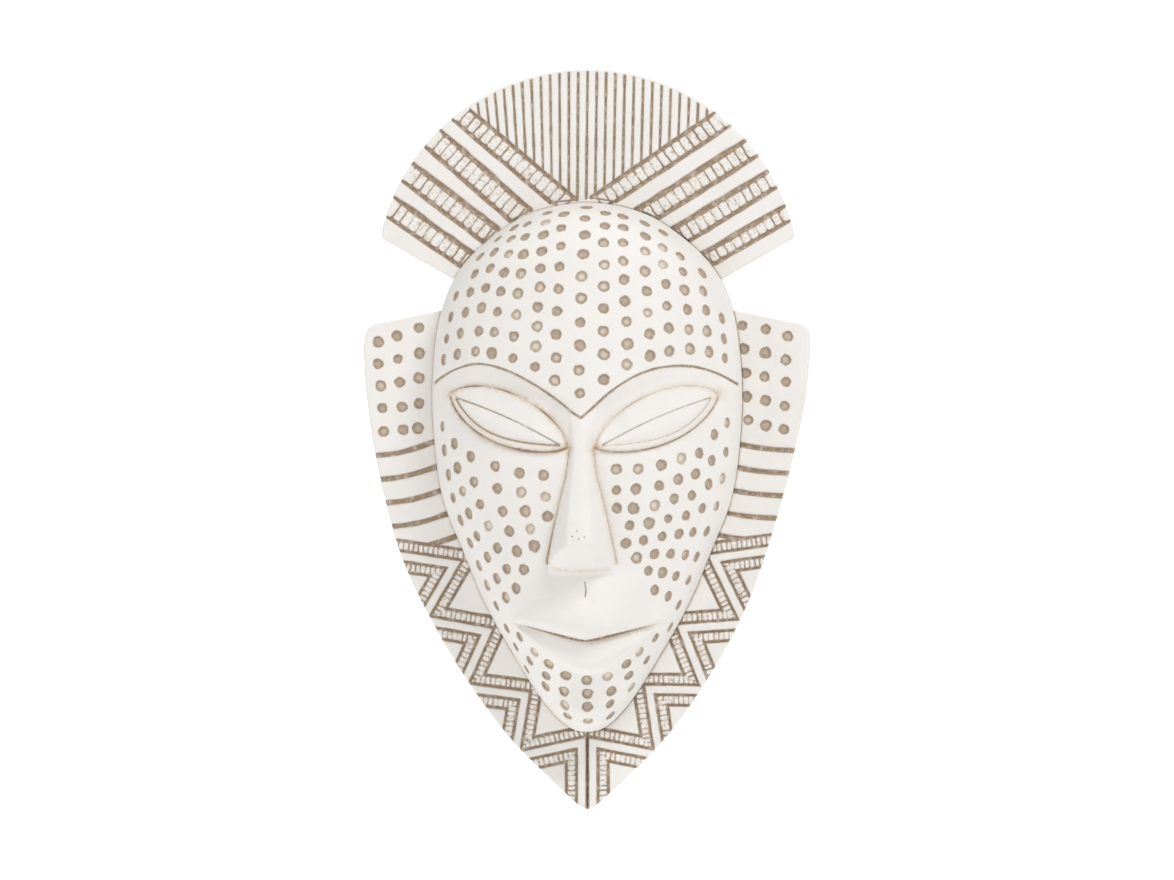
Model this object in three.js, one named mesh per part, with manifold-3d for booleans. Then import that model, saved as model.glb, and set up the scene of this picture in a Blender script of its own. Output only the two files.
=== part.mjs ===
// A carved wall mask: a hollow face block with a fan crest above it and a board at each side, dowelled
// together, and a D-ring hanger screwed into a recess in the crest's back. Millimetres, +Z up, and the front
// looks along -Y. Heights below are measured from the mask's pointed lower tip, and the outer group puts the
// hanging point at the origin. Every flat back lies in the plane y = 0.
import * as THREE from "three";
import { ConvexGeometry } from "three/addons/geometries/ConvexGeometry.js";
import { mergeVertices } from "three/addons/utils/BufferGeometryUtils.js";
import Module from "manifold-3d";

const wasm = await Module();
wasm.setup();

// Overall
const BOARD_THICKNESS = 14;
const JOINT_GAP = 0.3;
const HANGING_HEIGHT = 338;

// Face block: the right half of its outline from crown to chin as [half width, height]
const FACE_EDGE = [
  [0, 295],
  [27, 290],
  [49, 276],
  [63.5, 260],
  [71.5, 240],
  [75, 212],
  [74.6, 184],
  [70.5, 153],
  [60.5, 126.5],
  [49, 99.5],
  [35.5, 75.5],
  [22, 54],
  [10, 41.3],
  [0, 38.2],
];
const STEPS_PER_SPAN = 4;
const BROW_HEIGHT = 208;
const DOME_RISE = 55;
const CROWN_FULLNESS = 2.5;
const JAW_FULLNESS = 2.8;
const SIDE_FULLNESS = 2.1;
const FACE_COLUMNS = 36;
const FACE_ROWS = 44;
const FACE_WALL = 10;
const HOLLOW_COLUMNS = 16;
const HOLLOW_ROWS = 20;

// Face features
const EYE = {
  across: 35.7,
  height: 189,
  tilt: THREE.MathUtils.degToRad(24),
  halfLength: 31.7,
  halfHeight: 12,
};
const SOCKET = { halfLength: 38, halfHeight: 19, depth: 6, lensRise: 6 };
const UPPER_LIP = { height: 94, halfWidth: 40, halfHeight: 15, rise: 7 };
const LOWER_LIP = { height: 75, halfWidth: 28, halfHeight: 10, rise: 6 };
const NOSE_FRONT = 88;
// Corners of the nose wedge as [half width, depth from the back, height]
const NOSE_CORNERS = [
  [3, 69, 192],
  [3, 57, 186],
  [6, 61, 180],
  [6.5, NOSE_FRONT, 134],
  [17, 64, 122],
  [11, 64, 117],
];

// Crest
const CREST_RADIUS = 103;
const CREST_CENTRE_HEIGHT = 257;
const CREST_CORNER_ANGLE = 11.8;
const CREST_CORNER_ROUND = 3;
const CREST_FOOT_HEIGHT = 257.3;
const CREST_ARC_STEPS = 32;
const CREST_MARGIN = 2.5;
// The grooves along the edges of each side's four bands as [half width, height] at the face and at the rim
const CREST_BANDS = {
  left: [
    [[5.1, 296.3], [55.2, 338.7]],
    [[18, 295.1], [63.4, 333.7]],
    [[27.7, 291.4], [70.2, 329.2]],
    [[37.4, 286.1], [78.6, 322.2]],
    [[43.5, 282.1], [83.8, 313.2]],
    [[50.3, 275.6], [89.2, 305.1]],
    [[56, 270.4], [93.3, 297.2]],
    [[61.6, 264], [96.9, 287.9]],
  ],
  right: [
    [[1.8, 297.4], [60.2, 337.4]],
    [[13.9, 295.4], [68.2, 331.4]],
    [[24, 291.4], [75.5, 323.9]],
    [[34.5, 287.4], [81.5, 316.9]],
    [[41.7, 282.2], [87.4, 309.8]],
    [[49.4, 276.1], [91.4, 302]],
    [[55.9, 270], [95.4, 293.1]],
    [[61.1, 264.8], [97.6, 285.7]],
  ],
};
const CREST_FLUTES = 12;
const CREST_FLUTE_PITCH = 4.5;
const CREST_FLUTE_FOOT = 302;
const CREST_FLUTE_SLOPE = 0.85;
const SHORTEST_FLUTE = 3;

// Side boards: the outer edge from the rounded top corner down to the tip as [half width, height]
const BOARD_TOP_INNER_HEIGHT = 243.7;
const BOARD_TOP_CORNER = [107.5, 235.5];
const BOARD_CORNER_ROUND = 5;
const BOARD_EDGES = {
  left: [
    [109, 224],
    [107.5, 202],
    [104, 177],
    [98.5, 151],
    [90.5, 123],
    [78, 96],
    [60.5, 66],
    [39, 36.5],
    [18, 15],
    [4, 2],
  ],
  right: [
    [108.2, 224],
    [105.8, 200],
    [101.3, 178],
    [95, 153],
    [87, 126],
    [76, 96.5],
    [60, 66.5],
    [39, 36.5],
    [18, 15],
    [4, 2],
  ],
};
const BARS = 5;
// The groove under the top bar, and the step from each bar down to the next one
const TOP_BAR = {
  left: [
    [66, 182.6],
    [75.2, 178.7],
    [90.3, 173.9],
    [103.6, 172.1],
    [114, 172],
  ],
  right: [
    [62, 180.7],
    [71.2, 178.2],
    [86, 175.6],
    [101.5, 174.6],
    [112, 174.8],
  ],
};
const NEXT_BAR = { left: [-2.7, -11.45], right: [-2.7, -10.95] };
const ZIGZAG = {
  left: [
    [118, 127.4],
    [64.5, 119.6],
    [80.4, 92.5],
    [48.7, 86.8],
    [60.9, 59.7],
    [30.3, 55.8],
    [35.3, 25.9],
    [2.7, 33],
    [2.7, -5],
  ],
  right: [
    [118, 130.5],
    [61.4, 122.4],
    [76.9, 90.6],
    [46, 88.4],
    [57.8, 58.4],
    [30, 58.8],
    [35.1, 26.6],
    [2.7, 33],
    [2.7, -5],
  ],
};
const STRIP_WIDTH = 5;
const STRIP_EDGES = [-1.5, -0.5, 0.5, 1.5];

// Grooves
const GROOVE_DEPTH = 1.2;
const FINE_GROOVE = 1.3;
const BAR_GROOVE = 2.4;
const BAND_GROOVE = 1.9;

// Dowels
const DOWEL_RADIUS = 3;
const DOWEL_IN_FACE = 7;
const DOWEL_IN_BOARD = 15;
const CREST_DOWEL_ACROSS = 28;
const SIDE_DOWEL_HEIGHTS = { upper: 215, middle: 152, lower: 92 };
const SEAM_DOWEL_HEIGHT = 24;
const SEAM_DOWEL_LENGTH = 24;

// Hanger
const RECESS = { width: 28, bottom: 299, top: 348, depth: 5.5 };
const STRAP = { width: 11, length: 23, thickness: 1 };
const WIRE_RADIUS = 1.1;
const BARREL_RADIUS = 2.3;
const RING = { width: 20, reach: 15 };
const SCREW = { headRadius: 3.1, headHeight: 1.4, shankRadius: 1.4, shankLength: 5.5 };
const SCREW_DROPS = [7.5, 17];
const SCREW_CLEARANCE = 0.1;
const RING_CORNER = 2;
const ARC_STEPS = 12;
const DOWEL_SIDES = 16;
const BARREL_SIDES = 20;
const SCREW_SIDES = 14;
const WIRE_SIDES = 10;
const WIRE_STEPS = 60;

const MATERIALS = {
  face: paint(0xebe6df),
  boards: paint(0xe9e3da),
  dowels: new THREE.MeshStandardMaterial({ color: 0xb98f5c, roughness: 0.75, metalness: 0 }),
  hanger: new THREE.MeshStandardMaterial({ color: 0xb08d4a, roughness: 0.35, metalness: 1 }),
  screws: new THREE.MeshStandardMaterial({ color: 0x9d9d9f, roughness: 0.4, metalness: 1 }),
};

function paint(color) {
  return new THREE.MeshStandardMaterial({ color, roughness: 0.9, metalness: 0 });
}

// Solids

function toSolid(geometry) {
  const bare = geometry.clone();
  bare.deleteAttribute("normal");
  bare.deleteAttribute("uv");
  const merged = mergeVertices(bare, 1e-4);
  return new wasm.Manifold(
    new wasm.Mesh({
      numProp: 3,
      vertProperties: merged.attributes.position.array,
      triVerts: new Uint32Array(merged.index.array),
    }),
  );
}

function toGeometry(solid) {
  const mesh = solid.getMesh();
  const geometry = new THREE.BufferGeometry();
  geometry.setAttribute("position", new THREE.BufferAttribute(mesh.vertProperties, 3));
  geometry.setIndex(new THREE.BufferAttribute(mesh.triVerts, 1));
  geometry.computeVertexNormals();
  return geometry;
}

// An outline in the (across, height) plane, made solid between two depths in front of the flat back.
function slab(outline, back, front) {
  const shape = new THREE.Shape(outline);
  const geometry = new THREE.ExtrudeGeometry(shape, { depth: front - back, bevelEnabled: false });
  geometry.translate(0, 0, back);
  geometry.rotateX(Math.PI / 2);
  return toSolid(geometry);
}

function cylinder(radius, length, axis, centre, sides) {
  const geometry = new THREE.CylinderGeometry(radius, radius, length, sides);
  const up = new THREE.Vector3(0, 1, 0);
  geometry.applyQuaternion(new THREE.Quaternion().setFromUnitVectors(up, axis));
  geometry.translate(centre.x, centre.y, centre.z);
  return toSolid(geometry);
}

// Outlines

const point = ([across, height]) => new THREE.Vector2(across, height);
const mirrored = (points) => points.map((p) => new THREE.Vector2(-p.x, p.y)).reverse();

// The closed smooth curve through the face's edge points, sampled from crown to chin down the right side.
function sampleFaceEdge() {
  const right = FACE_EDGE.map(([across, height]) => new THREE.Vector3(across, height, 0));
  const left = right.slice(1, -1).map((p) => new THREE.Vector3(-p.x, p.y, 0)).reverse();
  const curve = new THREE.CatmullRomCurve3([...right, ...left], true, "catmullrom", 0.5);
  const spans = FACE_EDGE.length - 1;
  const steps = spans * STEPS_PER_SPAN;
  const wholeLoop = right.length + left.length;
  return Array.from({ length: steps + 1 }, (_, i) => {
    const p = curve.getPoint(i / STEPS_PER_SPAN / wholeLoop);
    return new THREE.Vector2(Math.max(0, p.x), p.y);
  });
}

const faceEdge = sampleFaceEdge();
const FACE_TOP = faceEdge[0].y;
const FACE_CHIN = faceEdge[faceEdge.length - 1].y;

// The face's edge moved outwards by a gap, so that a board beside it stays clear.
function faceEdgeWithGap(gap) {
  return faceEdge.map((p, i) => {
    const before = faceEdge[Math.max(0, i - 1)];
    const after = faceEdge[Math.min(faceEdge.length - 1, i + 1)];
    const along = after.clone().sub(before).normalize();
    const outwards = new THREE.Vector2(-along.y, along.x);
    if (p.x === 0) outwards.set(0, Math.sign(p.y - BROW_HEIGHT));
    return p.clone().addScaledVector(outwards, gap);
  });
}

// Half the face's width at a height, from its sampled edge.
function halfWidth(height) {
  const i = faceEdge.findIndex((p) => p.y <= height);
  if (i <= 0) return 0;
  const above = faceEdge[i - 1];
  const below = faceEdge[i];
  const t = (height - below.y) / (above.y - below.y);
  return THREE.MathUtils.lerp(below.x, above.x, t);
}

function roundedCorner(before, corner, after, radius) {
  const from = corner.clone().lerp(before, radius / corner.distanceTo(before));
  const to = corner.clone().lerp(after, radius / corner.distanceTo(after));
  return new THREE.QuadraticBezierCurve(from, corner, to).getPoints(4);
}

// A line moved sideways by a distance, with mitred corners.
function offsetLine(line, distance) {
  return line.map((p, i) => {
    const start = Math.max(0, i - 1);
    const end = Math.min(line.length - 1, i + 1);
    const into = line[start + 1].clone().sub(line[start]).normalize();
    const out = line[end].clone().sub(line[end - 1]).normalize();
    const along = into.clone().add(out).normalize();
    const sideways = new THREE.Vector2(-along.y, along.x);
    return p.clone().addScaledVector(sideways, distance / along.dot(into));
  });
}

// A groove of constant width cut into the front of a board along a line.
function groove(line, width) {
  const outline = [...offsetLine(line, width / 2), ...offsetLine(line, -width / 2).reverse()];
  return slab(outline, BOARD_THICKNESS - GROOVE_DEPTH, BOARD_THICKNESS + 1);
}

const cutAll = (solid, cuts) => cuts.reduce((rest, cut) => rest.subtract(cut), solid);

// Face block

const fullness = (t, power) => Math.pow(Math.max(0, 1 - Math.pow(Math.abs(t), power)), 1 / power);
const smoothBump = (r) => (r >= 1 ? 0 : Math.pow(1 - r * r, 2));

// Distance from the eye's centre along and across its slanted axis, the same on both sides.
function eyeAxes(across, height) {
  const x = Math.abs(across) - EYE.across;
  const z = height - EYE.height;
  return {
    along: x * Math.cos(EYE.tilt) + z * Math.sin(EYE.tilt),
    over: z * Math.cos(EYE.tilt) - x * Math.sin(EYE.tilt),
  };
}

function domeRise(across, height, edge) {
  const above = height > BROW_HEIGHT;
  const reach = above ? FACE_TOP - BROW_HEIGHT : BROW_HEIGHT - FACE_CHIN;
  const spine = fullness((height - BROW_HEIGHT) / reach, above ? CROWN_FULLNESS : JAW_FULLNESS);
  return edge > 0 ? DOME_RISE * spine * fullness(across / edge, SIDE_FULLNESS) : 0;
}

function lipRise(across, height, lip) {
  return lip.rise * smoothBump(Math.hypot(across / lip.halfWidth, (height - lip.height) / lip.halfHeight));
}

function featureRise(across, height) {
  const eye = eyeAxes(across, height);
  const socket = smoothBump(Math.hypot(eye.along / SOCKET.halfLength, eye.over / SOCKET.halfHeight));
  const lens = fullness(Math.min(1, Math.hypot(eye.along / EYE.halfLength, eye.over / EYE.halfHeight)), 2);
  const eyes = SOCKET.lensRise * lens - SOCKET.depth * socket;
  return eyes + lipRise(across, height, UPPER_LIP) + lipRise(across, height, LOWER_LIP);
}

// A closed dome: a front surface on a grid of rows and columns, a straight rim, and a flat back.
function dome({ columns, rows, bottom, top, widthAt, riseAt, rimDepth, backDepth }) {
  const middle = (top + bottom) / 2;
  const reach = (top - bottom) / 2;
  const spread = (i, count) => Math.sin(Math.PI * (i / count - 0.5));
  const grid = Array.from({ length: rows + 1 }, (_, i) => {
    const height = middle + reach * spread(i, rows);
    const edge = i === 0 || i === rows ? 0 : widthAt(height);
    const front = Array.from({ length: columns + 1 }, (_, j) => {
      const across = edge * spread(j, columns);
      const onRim = edge === 0 || j === 0 || j === columns;
      return [across, -rimDepth - (onRim ? 0 : riseAt(across, height, edge)), height];
    });
    const back = [edge, -edge].map((across) => [across, -backDepth, height]);
    return [...front, ...back];
  });
  const corners = [];
  const same = (a, b) => a.every((value, k) => Math.abs(value - b[k]) < 1e-6);
  const triangle = (a, b, c) => {
    if (!same(a, b) && !same(b, c) && !same(c, a)) corners.push(...a, ...b, ...c);
  };
  for (let i = 0; i < rows; i++) {
    const low = grid[i];
    const high = grid[i + 1];
    for (let j = 0; j < low.length; j++) {
      const next = (j + 1) % low.length;
      triangle(low[j], low[next], high[next]);
      triangle(low[j], high[next], high[j]);
    }
  }
  const geometry = new THREE.BufferGeometry();
  geometry.setAttribute("position", new THREE.BufferAttribute(new Float32Array(corners), 3));
  return toSolid(geometry);
}

function noseWedge() {
  const points = NOSE_CORNERS.flatMap(([across, depth, height]) => [
    new THREE.Vector3(across, -depth, height),
    new THREE.Vector3(-across, -depth, height),
  ]);
  return toSolid(new ConvexGeometry(points));
}

function faceHollow() {
  const shrink = (FACE_TOP - FACE_CHIN) / (FACE_TOP - FACE_CHIN - 2 * FACE_WALL);
  const outer = (height) => FACE_CHIN + (height - FACE_CHIN - FACE_WALL) * shrink;
  return dome({
    columns: HOLLOW_COLUMNS,
    rows: HOLLOW_ROWS,
    bottom: FACE_CHIN + FACE_WALL,
    top: FACE_TOP - FACE_WALL,
    widthAt: (height) => Math.max(0, halfWidth(outer(height)) - FACE_WALL),
    riseAt: (across, height, edge) => domeRise(across, outer(height), edge) * (1 - FACE_WALL / DOME_RISE),
    rimDepth: BOARD_THICKNESS - FACE_WALL / 2,
    backDepth: -1,
  });
}

function makeFace() {
  const outside = dome({
    columns: FACE_COLUMNS,
    rows: FACE_ROWS,
    bottom: FACE_CHIN,
    top: FACE_TOP,
    widthAt: halfWidth,
    riseAt: (across, height, edge) => domeRise(across, height, edge) + featureRise(across, height),
    rimDepth: BOARD_THICKNESS,
    backDepth: 0,
  });
  return outside.add(noseWedge()).subtract(faceHollow());
}

// Crest

function crestOutline() {
  const angles = Array.from({ length: CREST_ARC_STEPS + 1 }, (_, i) =>
    THREE.MathUtils.degToRad(
      CREST_CORNER_ANGLE + ((180 - 2 * CREST_CORNER_ANGLE) * i) / CREST_ARC_STEPS,
    ),
  );
  const arc = angles.map(
    (a) => new THREE.Vector2(CREST_RADIUS * Math.cos(a), CREST_CENTRE_HEIGHT + CREST_RADIUS * Math.sin(a)),
  );
  const inner = faceEdgeWithGap(JOINT_GAP).filter((p) => p.y > CREST_FOOT_HEIGHT);
  const foot = inner[inner.length - 1];
  const corner = roundedCorner(foot, arc[0], arc[1], CREST_CORNER_ROUND);
  return [...corner, ...arc.slice(1, -1), ...mirrored(corner), ...mirrored(inner), ...inner.slice(1)];
}

function crestGrooves() {
  const right = CREST_BANDS.right.map((edge) => groove(edge.map(point), BAND_GROOVE));
  const left = CREST_BANDS.left.map((edge) => groove(mirrored(edge.map(point)), BAND_GROOVE));
  const flutes = Array.from({ length: 2 * CREST_FLUTES + 1 }, (_, i) => {
    const across = (i - CREST_FLUTES) * CREST_FLUTE_PITCH;
    const bottom = CREST_FLUTE_FOOT + Math.abs(across) * CREST_FLUTE_SLOPE;
    const top = CREST_CENTRE_HEIGHT + Math.sqrt((CREST_RADIUS - CREST_MARGIN) ** 2 - across ** 2);
    return [new THREE.Vector2(across, bottom), new THREE.Vector2(across, top)];
  });
  const longEnough = flutes.filter(([bottom, top]) => top.y - bottom.y > SHORTEST_FLUTE);
  return [...right, ...left, ...longEnough.map((line) => groove(line, FINE_GROOVE))];
}

function hangerRecess() {
  const half = RECESS.width / 2;
  const outline = [
    new THREE.Vector2(-half, RECESS.bottom),
    new THREE.Vector2(half, RECESS.bottom),
    new THREE.Vector2(half, RECESS.top),
    new THREE.Vector2(-half, RECESS.top),
  ];
  return slab(outline, -1, RECESS.depth);
}

// Side boards

function boardOutline(side) {
  const edge = BOARD_EDGES[side].map(point);
  const inner = faceEdgeWithGap(JOINT_GAP).filter((p) => p.y < BOARD_TOP_INNER_HEIGHT);
  const corner = roundedCorner(inner[0], point(BOARD_TOP_CORNER), edge[0], BOARD_CORNER_ROUND);
  const outer = new THREE.SplineCurve(edge).getPoints((edge.length - 1) * 3);
  const chin = inner.slice(0, -1).reverse();
  const tip = [new THREE.Vector2(JOINT_GAP / 2, 0), new THREE.Vector2(JOINT_GAP / 2, FACE_CHIN - JOINT_GAP)];
  return [...corner, ...outer, ...tip, ...chin].reverse();
}

function barGrooves(side) {
  const [inwards, downwards] = NEXT_BAR[side];
  return Array.from({ length: BARS }, (_, i) => {
    const line = TOP_BAR[side].map(
      ([across, height]) => new THREE.Vector2(across + inwards * i, height + downwards * i),
    );
    return groove(new THREE.SplineCurve(line).getPoints(6), BAR_GROOVE);
  });
}

function zigzagGrooves(side) {
  const line = ZIGZAG[side].map(point);
  return STRIP_EDGES.map((edge) => groove(offsetLine(line, edge * STRIP_WIDTH), FINE_GROOVE));
}

// The left board is drawn on the right and mirrored, so it keeps its own slightly fuller edge and carving.
function makeBoard(side, dowelHoles) {
  const whole = slab(boardOutline(side), 0, BOARD_THICKNESS);
  const carved = cutAll(whole, [...barGrooves(side), ...zigzagGrooves(side)]);
  const placed = side === "left" ? carved.mirror([1, 0, 0]) : carved;
  return cutAll(placed, dowelHoles);
}

// Dowels: each has its name, the board it holds, its axis and the point where it crosses the joint

function dowelPlan() {
  const middle = -BOARD_THICKNESS / 2;
  const sides = { left: -1, right: 1 };
  const crownHeight = faceEdge.find((p) => p.x >= CREST_DOWEL_ACROSS).y;
  const crest = Object.entries(sides).map(([side, sign]) => ({
    name: `crest_dowel_${side}`,
    board: "crest",
    axis: new THREE.Vector3(0, 0, 1),
    joint: new THREE.Vector3(sign * CREST_DOWEL_ACROSS, middle, crownHeight),
  }));
  const boards = Object.entries(sides).flatMap(([side, sign]) =>
    Object.entries(SIDE_DOWEL_HEIGHTS).map(([level, height]) => ({
      name: `${side}_board_dowel_${level}`,
      board: side,
      axis: new THREE.Vector3(sign, 0, 0),
      joint: new THREE.Vector3(sign * halfWidth(height), middle, height),
    })),
  );
  return [...crest, ...boards];
}

// A rod along the dowel's axis, larger than the dowel by a clearance, for the pin and for its hole.
function dowelRod({ axis, joint }, clearance) {
  const length = DOWEL_IN_FACE + DOWEL_IN_BOARD + 2 * clearance;
  const centre = joint.clone().addScaledVector(axis, (DOWEL_IN_BOARD - DOWEL_IN_FACE) / 2);
  return cylinder(DOWEL_RADIUS + clearance, length, axis, centre, DOWEL_SIDES);
}

function seamRod(clearance) {
  const centre = new THREE.Vector3(0, -BOARD_THICKNESS / 2, SEAM_DOWEL_HEIGHT);
  const axis = new THREE.Vector3(1, 0, 0);
  const length = SEAM_DOWEL_LENGTH + 2 * clearance;
  return cylinder(DOWEL_RADIUS + clearance, length, axis, centre, DOWEL_SIDES);
}

// Hanger: the strap lies on the recess floor, its rolled barrel holds the ring's straight bar

const hinge = new THREE.Vector3(0, 0, 0);
hinge.y = -(RECESS.depth - JOINT_GAP - BARREL_RADIUS);
hinge.z = HANGING_HEIGHT - RING.reach + WIRE_RADIUS;
const strapFront = RECESS.depth - JOINT_GAP;
const strapBack = strapFront - STRAP.thickness;

function makeStrap() {
  const half = STRAP.width / 2;
  const foot = hinge.z - STRAP.length + half;
  const arc = Array.from({ length: ARC_STEPS + 1 }, (_, i) => {
    const angle = Math.PI + (Math.PI * i) / ARC_STEPS;
    return new THREE.Vector2(half * Math.cos(angle), foot + half * Math.sin(angle));
  });
  const top = [new THREE.Vector2(half, hinge.z), new THREE.Vector2(-half, hinge.z)];
  const plate = slab([...arc, ...top], strapBack, strapFront);
  const across = new THREE.Vector3(1, 0, 0);
  const barrel = cylinder(BARREL_RADIUS, STRAP.width, across, hinge, BARREL_SIDES);
  const eye = cylinder(WIRE_RADIUS + JOINT_GAP, STRAP.width + 2, across, hinge, BARREL_SIDES);
  const hole = SCREW.shankRadius + JOINT_GAP;
  const holes = SCREW_DROPS.map((drop) => screwRod(hole, drop, -1, RECESS.depth + 1));
  return cutAll(plate.add(barrel).subtract(eye), holes);
}

// A rod along Y through a screw's place, between two depths.
function screwRod(radius, drop, back, front) {
  const centre = new THREE.Vector3(0, -(back + front) / 2, hinge.z - drop);
  return cylinder(radius, front - back, new THREE.Vector3(0, 1, 0), centre, SCREW_SIDES);
}

function makeScrew(drop) {
  const headFront = strapBack - SCREW_CLEARANCE;
  const neck = headFront - SCREW.headHeight / 2;
  const head = screwRod(SCREW.headRadius, drop, headFront - SCREW.headHeight, headFront);
  return head.add(screwRod(SCREW.shankRadius, drop, neck, RECESS.depth + SCREW.shankLength));
}

function screwPilot(drop) {
  const bottom = RECESS.depth + SCREW.shankLength + JOINT_GAP;
  return screwRod(SCREW.shankRadius + JOINT_GAP, drop, RECESS.depth - 1, bottom);
}

// The ring's bent wire runs up from the two ends of its straight bar and over the top.
function makeRing() {
  const half = RING.width / 2 - WIRE_RADIUS;
  const crown = RING.reach - half;
  const bow = Array.from({ length: ARC_STEPS + 1 }, (_, i) => {
    const angle = (Math.PI * i) / ARC_STEPS;
    return new THREE.Vector3(half * Math.cos(angle), 0, crown + half * Math.sin(angle));
  });
  const bend = 0.3 * RING_CORNER;
  const rightCorner = [
    new THREE.Vector3(half - RING_CORNER, 0, 0),
    new THREE.Vector3(half - bend, 0, bend),
    new THREE.Vector3(half, 0, RING_CORNER),
  ];
  const leftCorner = rightCorner.map((p) => new THREE.Vector3(-p.x, 0, p.z)).reverse();
  const loop = [new THREE.Vector3(0, 0, 0), ...rightCorner, ...bow, ...leftCorner];
  const path = new THREE.CatmullRomCurve3(loop, true, "centripetal");
  const section = new THREE.Shape(
    Array.from({ length: WIRE_SIDES }, (_, i) => {
      const angle = (2 * Math.PI * i) / WIRE_SIDES;
      return new THREE.Vector2(WIRE_RADIUS * Math.cos(angle), WIRE_RADIUS * Math.sin(angle));
    }),
  );
  return new THREE.ExtrudeGeometry(section, { steps: WIRE_STEPS, extrudePath: path, bevelEnabled: false });
}

// Assembly

const mask = new THREE.Group();

function addNode(name, solid, material) {
  const mesh = new THREE.Mesh(toGeometry(solid), material);
  mesh.name = name;
  mask.add(mesh);
}

const dowels = dowelPlan();
const holesFor = (board) =>
  dowels.filter((d) => board === "face" || d.board === board).map((d) => dowelRod(d, JOINT_GAP));
const seamHole = seamRod(JOINT_GAP);
const crest = slab(crestOutline(), 0, BOARD_THICKNESS);

addNode("face_shell", cutAll(makeFace(), holesFor("face")), MATERIALS.face);
addNode(
  "crest_board",
  cutAll(crest, [...crestGrooves(), hangerRecess(), ...SCREW_DROPS.map(screwPilot), ...holesFor("crest")]),
  MATERIALS.boards,
);
addNode("left_board", makeBoard("left", [...holesFor("left"), seamHole]), MATERIALS.boards);
addNode("right_board", makeBoard("right", [...holesFor("right"), seamHole]), MATERIALS.boards);
dowels.forEach((dowel) => addNode(dowel.name, dowelRod(dowel, 0), MATERIALS.dowels));
addNode("collar_seam_dowel", seamRod(0), MATERIALS.dowels);
addNode("hanger_strap", makeStrap(), MATERIALS.hanger);
SCREW_DROPS.forEach((drop, i) => addNode(`hanger_screw_${i + 1}`, makeScrew(drop), MATERIALS.screws));

const ring = new THREE.Mesh(makeRing(), MATERIALS.hanger);
ring.name = "hanger_ring";
ring.position.copy(hinge);
mask.add(ring);

const group = new THREE.Group();
group.add(mask);
mask.position.z = -HANGING_HEIGHT;

export default group;
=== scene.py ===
"""The looks of a carved, whitewashed wall mask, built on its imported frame.

Everything is in metres, in the frame's axes: x across, y back towards the wall, z up. Heights in the tables
below are measured from the mask's pointed lower tip, and `placed` moves them to the frame.
"""

import math
from functools import partial

import bpy
import numpy as np
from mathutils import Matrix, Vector
from mathutils.geometry import delaunay_2d_cdt


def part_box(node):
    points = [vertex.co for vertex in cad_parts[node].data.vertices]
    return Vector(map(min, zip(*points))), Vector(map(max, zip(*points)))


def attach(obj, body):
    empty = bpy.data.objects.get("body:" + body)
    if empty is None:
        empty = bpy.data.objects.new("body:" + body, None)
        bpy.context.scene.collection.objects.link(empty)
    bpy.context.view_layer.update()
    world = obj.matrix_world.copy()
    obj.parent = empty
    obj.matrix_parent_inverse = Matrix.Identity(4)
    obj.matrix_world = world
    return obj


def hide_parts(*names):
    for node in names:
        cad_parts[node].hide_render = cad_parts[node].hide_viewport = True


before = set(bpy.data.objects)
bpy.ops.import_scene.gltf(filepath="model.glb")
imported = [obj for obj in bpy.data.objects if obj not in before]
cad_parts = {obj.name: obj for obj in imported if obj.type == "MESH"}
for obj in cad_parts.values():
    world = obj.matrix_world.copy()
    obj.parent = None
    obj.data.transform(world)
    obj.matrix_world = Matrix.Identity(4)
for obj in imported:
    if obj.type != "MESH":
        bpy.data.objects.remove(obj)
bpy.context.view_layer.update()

MM = 0.001
rng = np.random.default_rng(7)

TIP_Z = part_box("left_board")[0][2]
MIDDLE_Z = TIP_Z + 0.18
BOARD_FRONT = -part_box("crest_board")[0][1]
DEEPEST = -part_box("face_shell")[0][1]
PAINTED_GAP = 0.04 * MM

# Face outline, the right half from crown to chin: half width, height
FACE_EDGE = MM * np.array([
    (0, 295), (27, 290), (49, 276), (63.5, 260), (71.5, 240), (75, 212), (74.6, 184),
    (70.5, 153), (60.5, 126.5), (49, 99.5), (35.5, 75.5), (22, 54), (10, 41.3), (0, 38.2),
])
BROW_HEIGHT = 208 * MM
DOME_RISE = 55 * MM
CROWN_FULLNESS = 2.5
JAW_FULLNESS = 2.8
SIDE_FULLNESS = 2.1
FACE_WALL = 10 * MM
FACE_ROWS = 600
FACE_COLUMNS = 410
HOLLOW_COLUMNS = 60

# Face features, for the right half: distance from the middle, height
BROW_LINES = {
    "left": MM * np.array([
        (0, 190.2), (5, 193.2), (12, 198.8), (22, 205.6), (33, 211.6), (44, 215.4), (53, 216.2), (62, 213.8),
        (70, 209.8), (76, 205.6),
    ]),
    "right": MM * np.array([
        (0, 190.4), (5, 194.6), (13.5, 202.2), (23.4, 209), (33, 213.2), (42.4, 215), (51.8, 215),
        (59, 213.6), (66, 211), (74, 206.6),
    ]),
}
BROW_STEP = 1.1 * MM
BROW_STEP_REACH = 1.2 * MM
BROW_STEP_FADE = 20 * MM
EYE_CENTRE = MM * np.array((35.7, 189))
EYE_TILT = math.radians(24)
EYE_HALF = 31.7 * MM
EYE_TAPER = 4 * MM
UPPER_LID = 12.9 * MM
LOWER_LID = 11.9 * MM
BALL_HALF = 28.4 * MM
SLIT_RISE = 1.7 * MM
LOWER_RIM = 8.0 * MM
LID_EDGE = 0.4 * MM
NOSE_HEIGHTS = MM * np.array((117, 122, 139, 150, 163, 174, 186, 196))
NOSE_FOOT = MM * np.array((16.3, 16.7, 13.3, 10.7, 7.4, 6.0, 5.9, 6.0))
NOSE_RIDGE = MM * np.array((6.4, 6.2, 5.6, 4.8, 3.8, 3.3, 3.0, 2.8))
NOSE_RISE = MM * np.array((76, 75.5, 71.6, 67.4, 62.8, 59.6, 56.4, 54))
NOSE_BASE = 117 * MM
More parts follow.
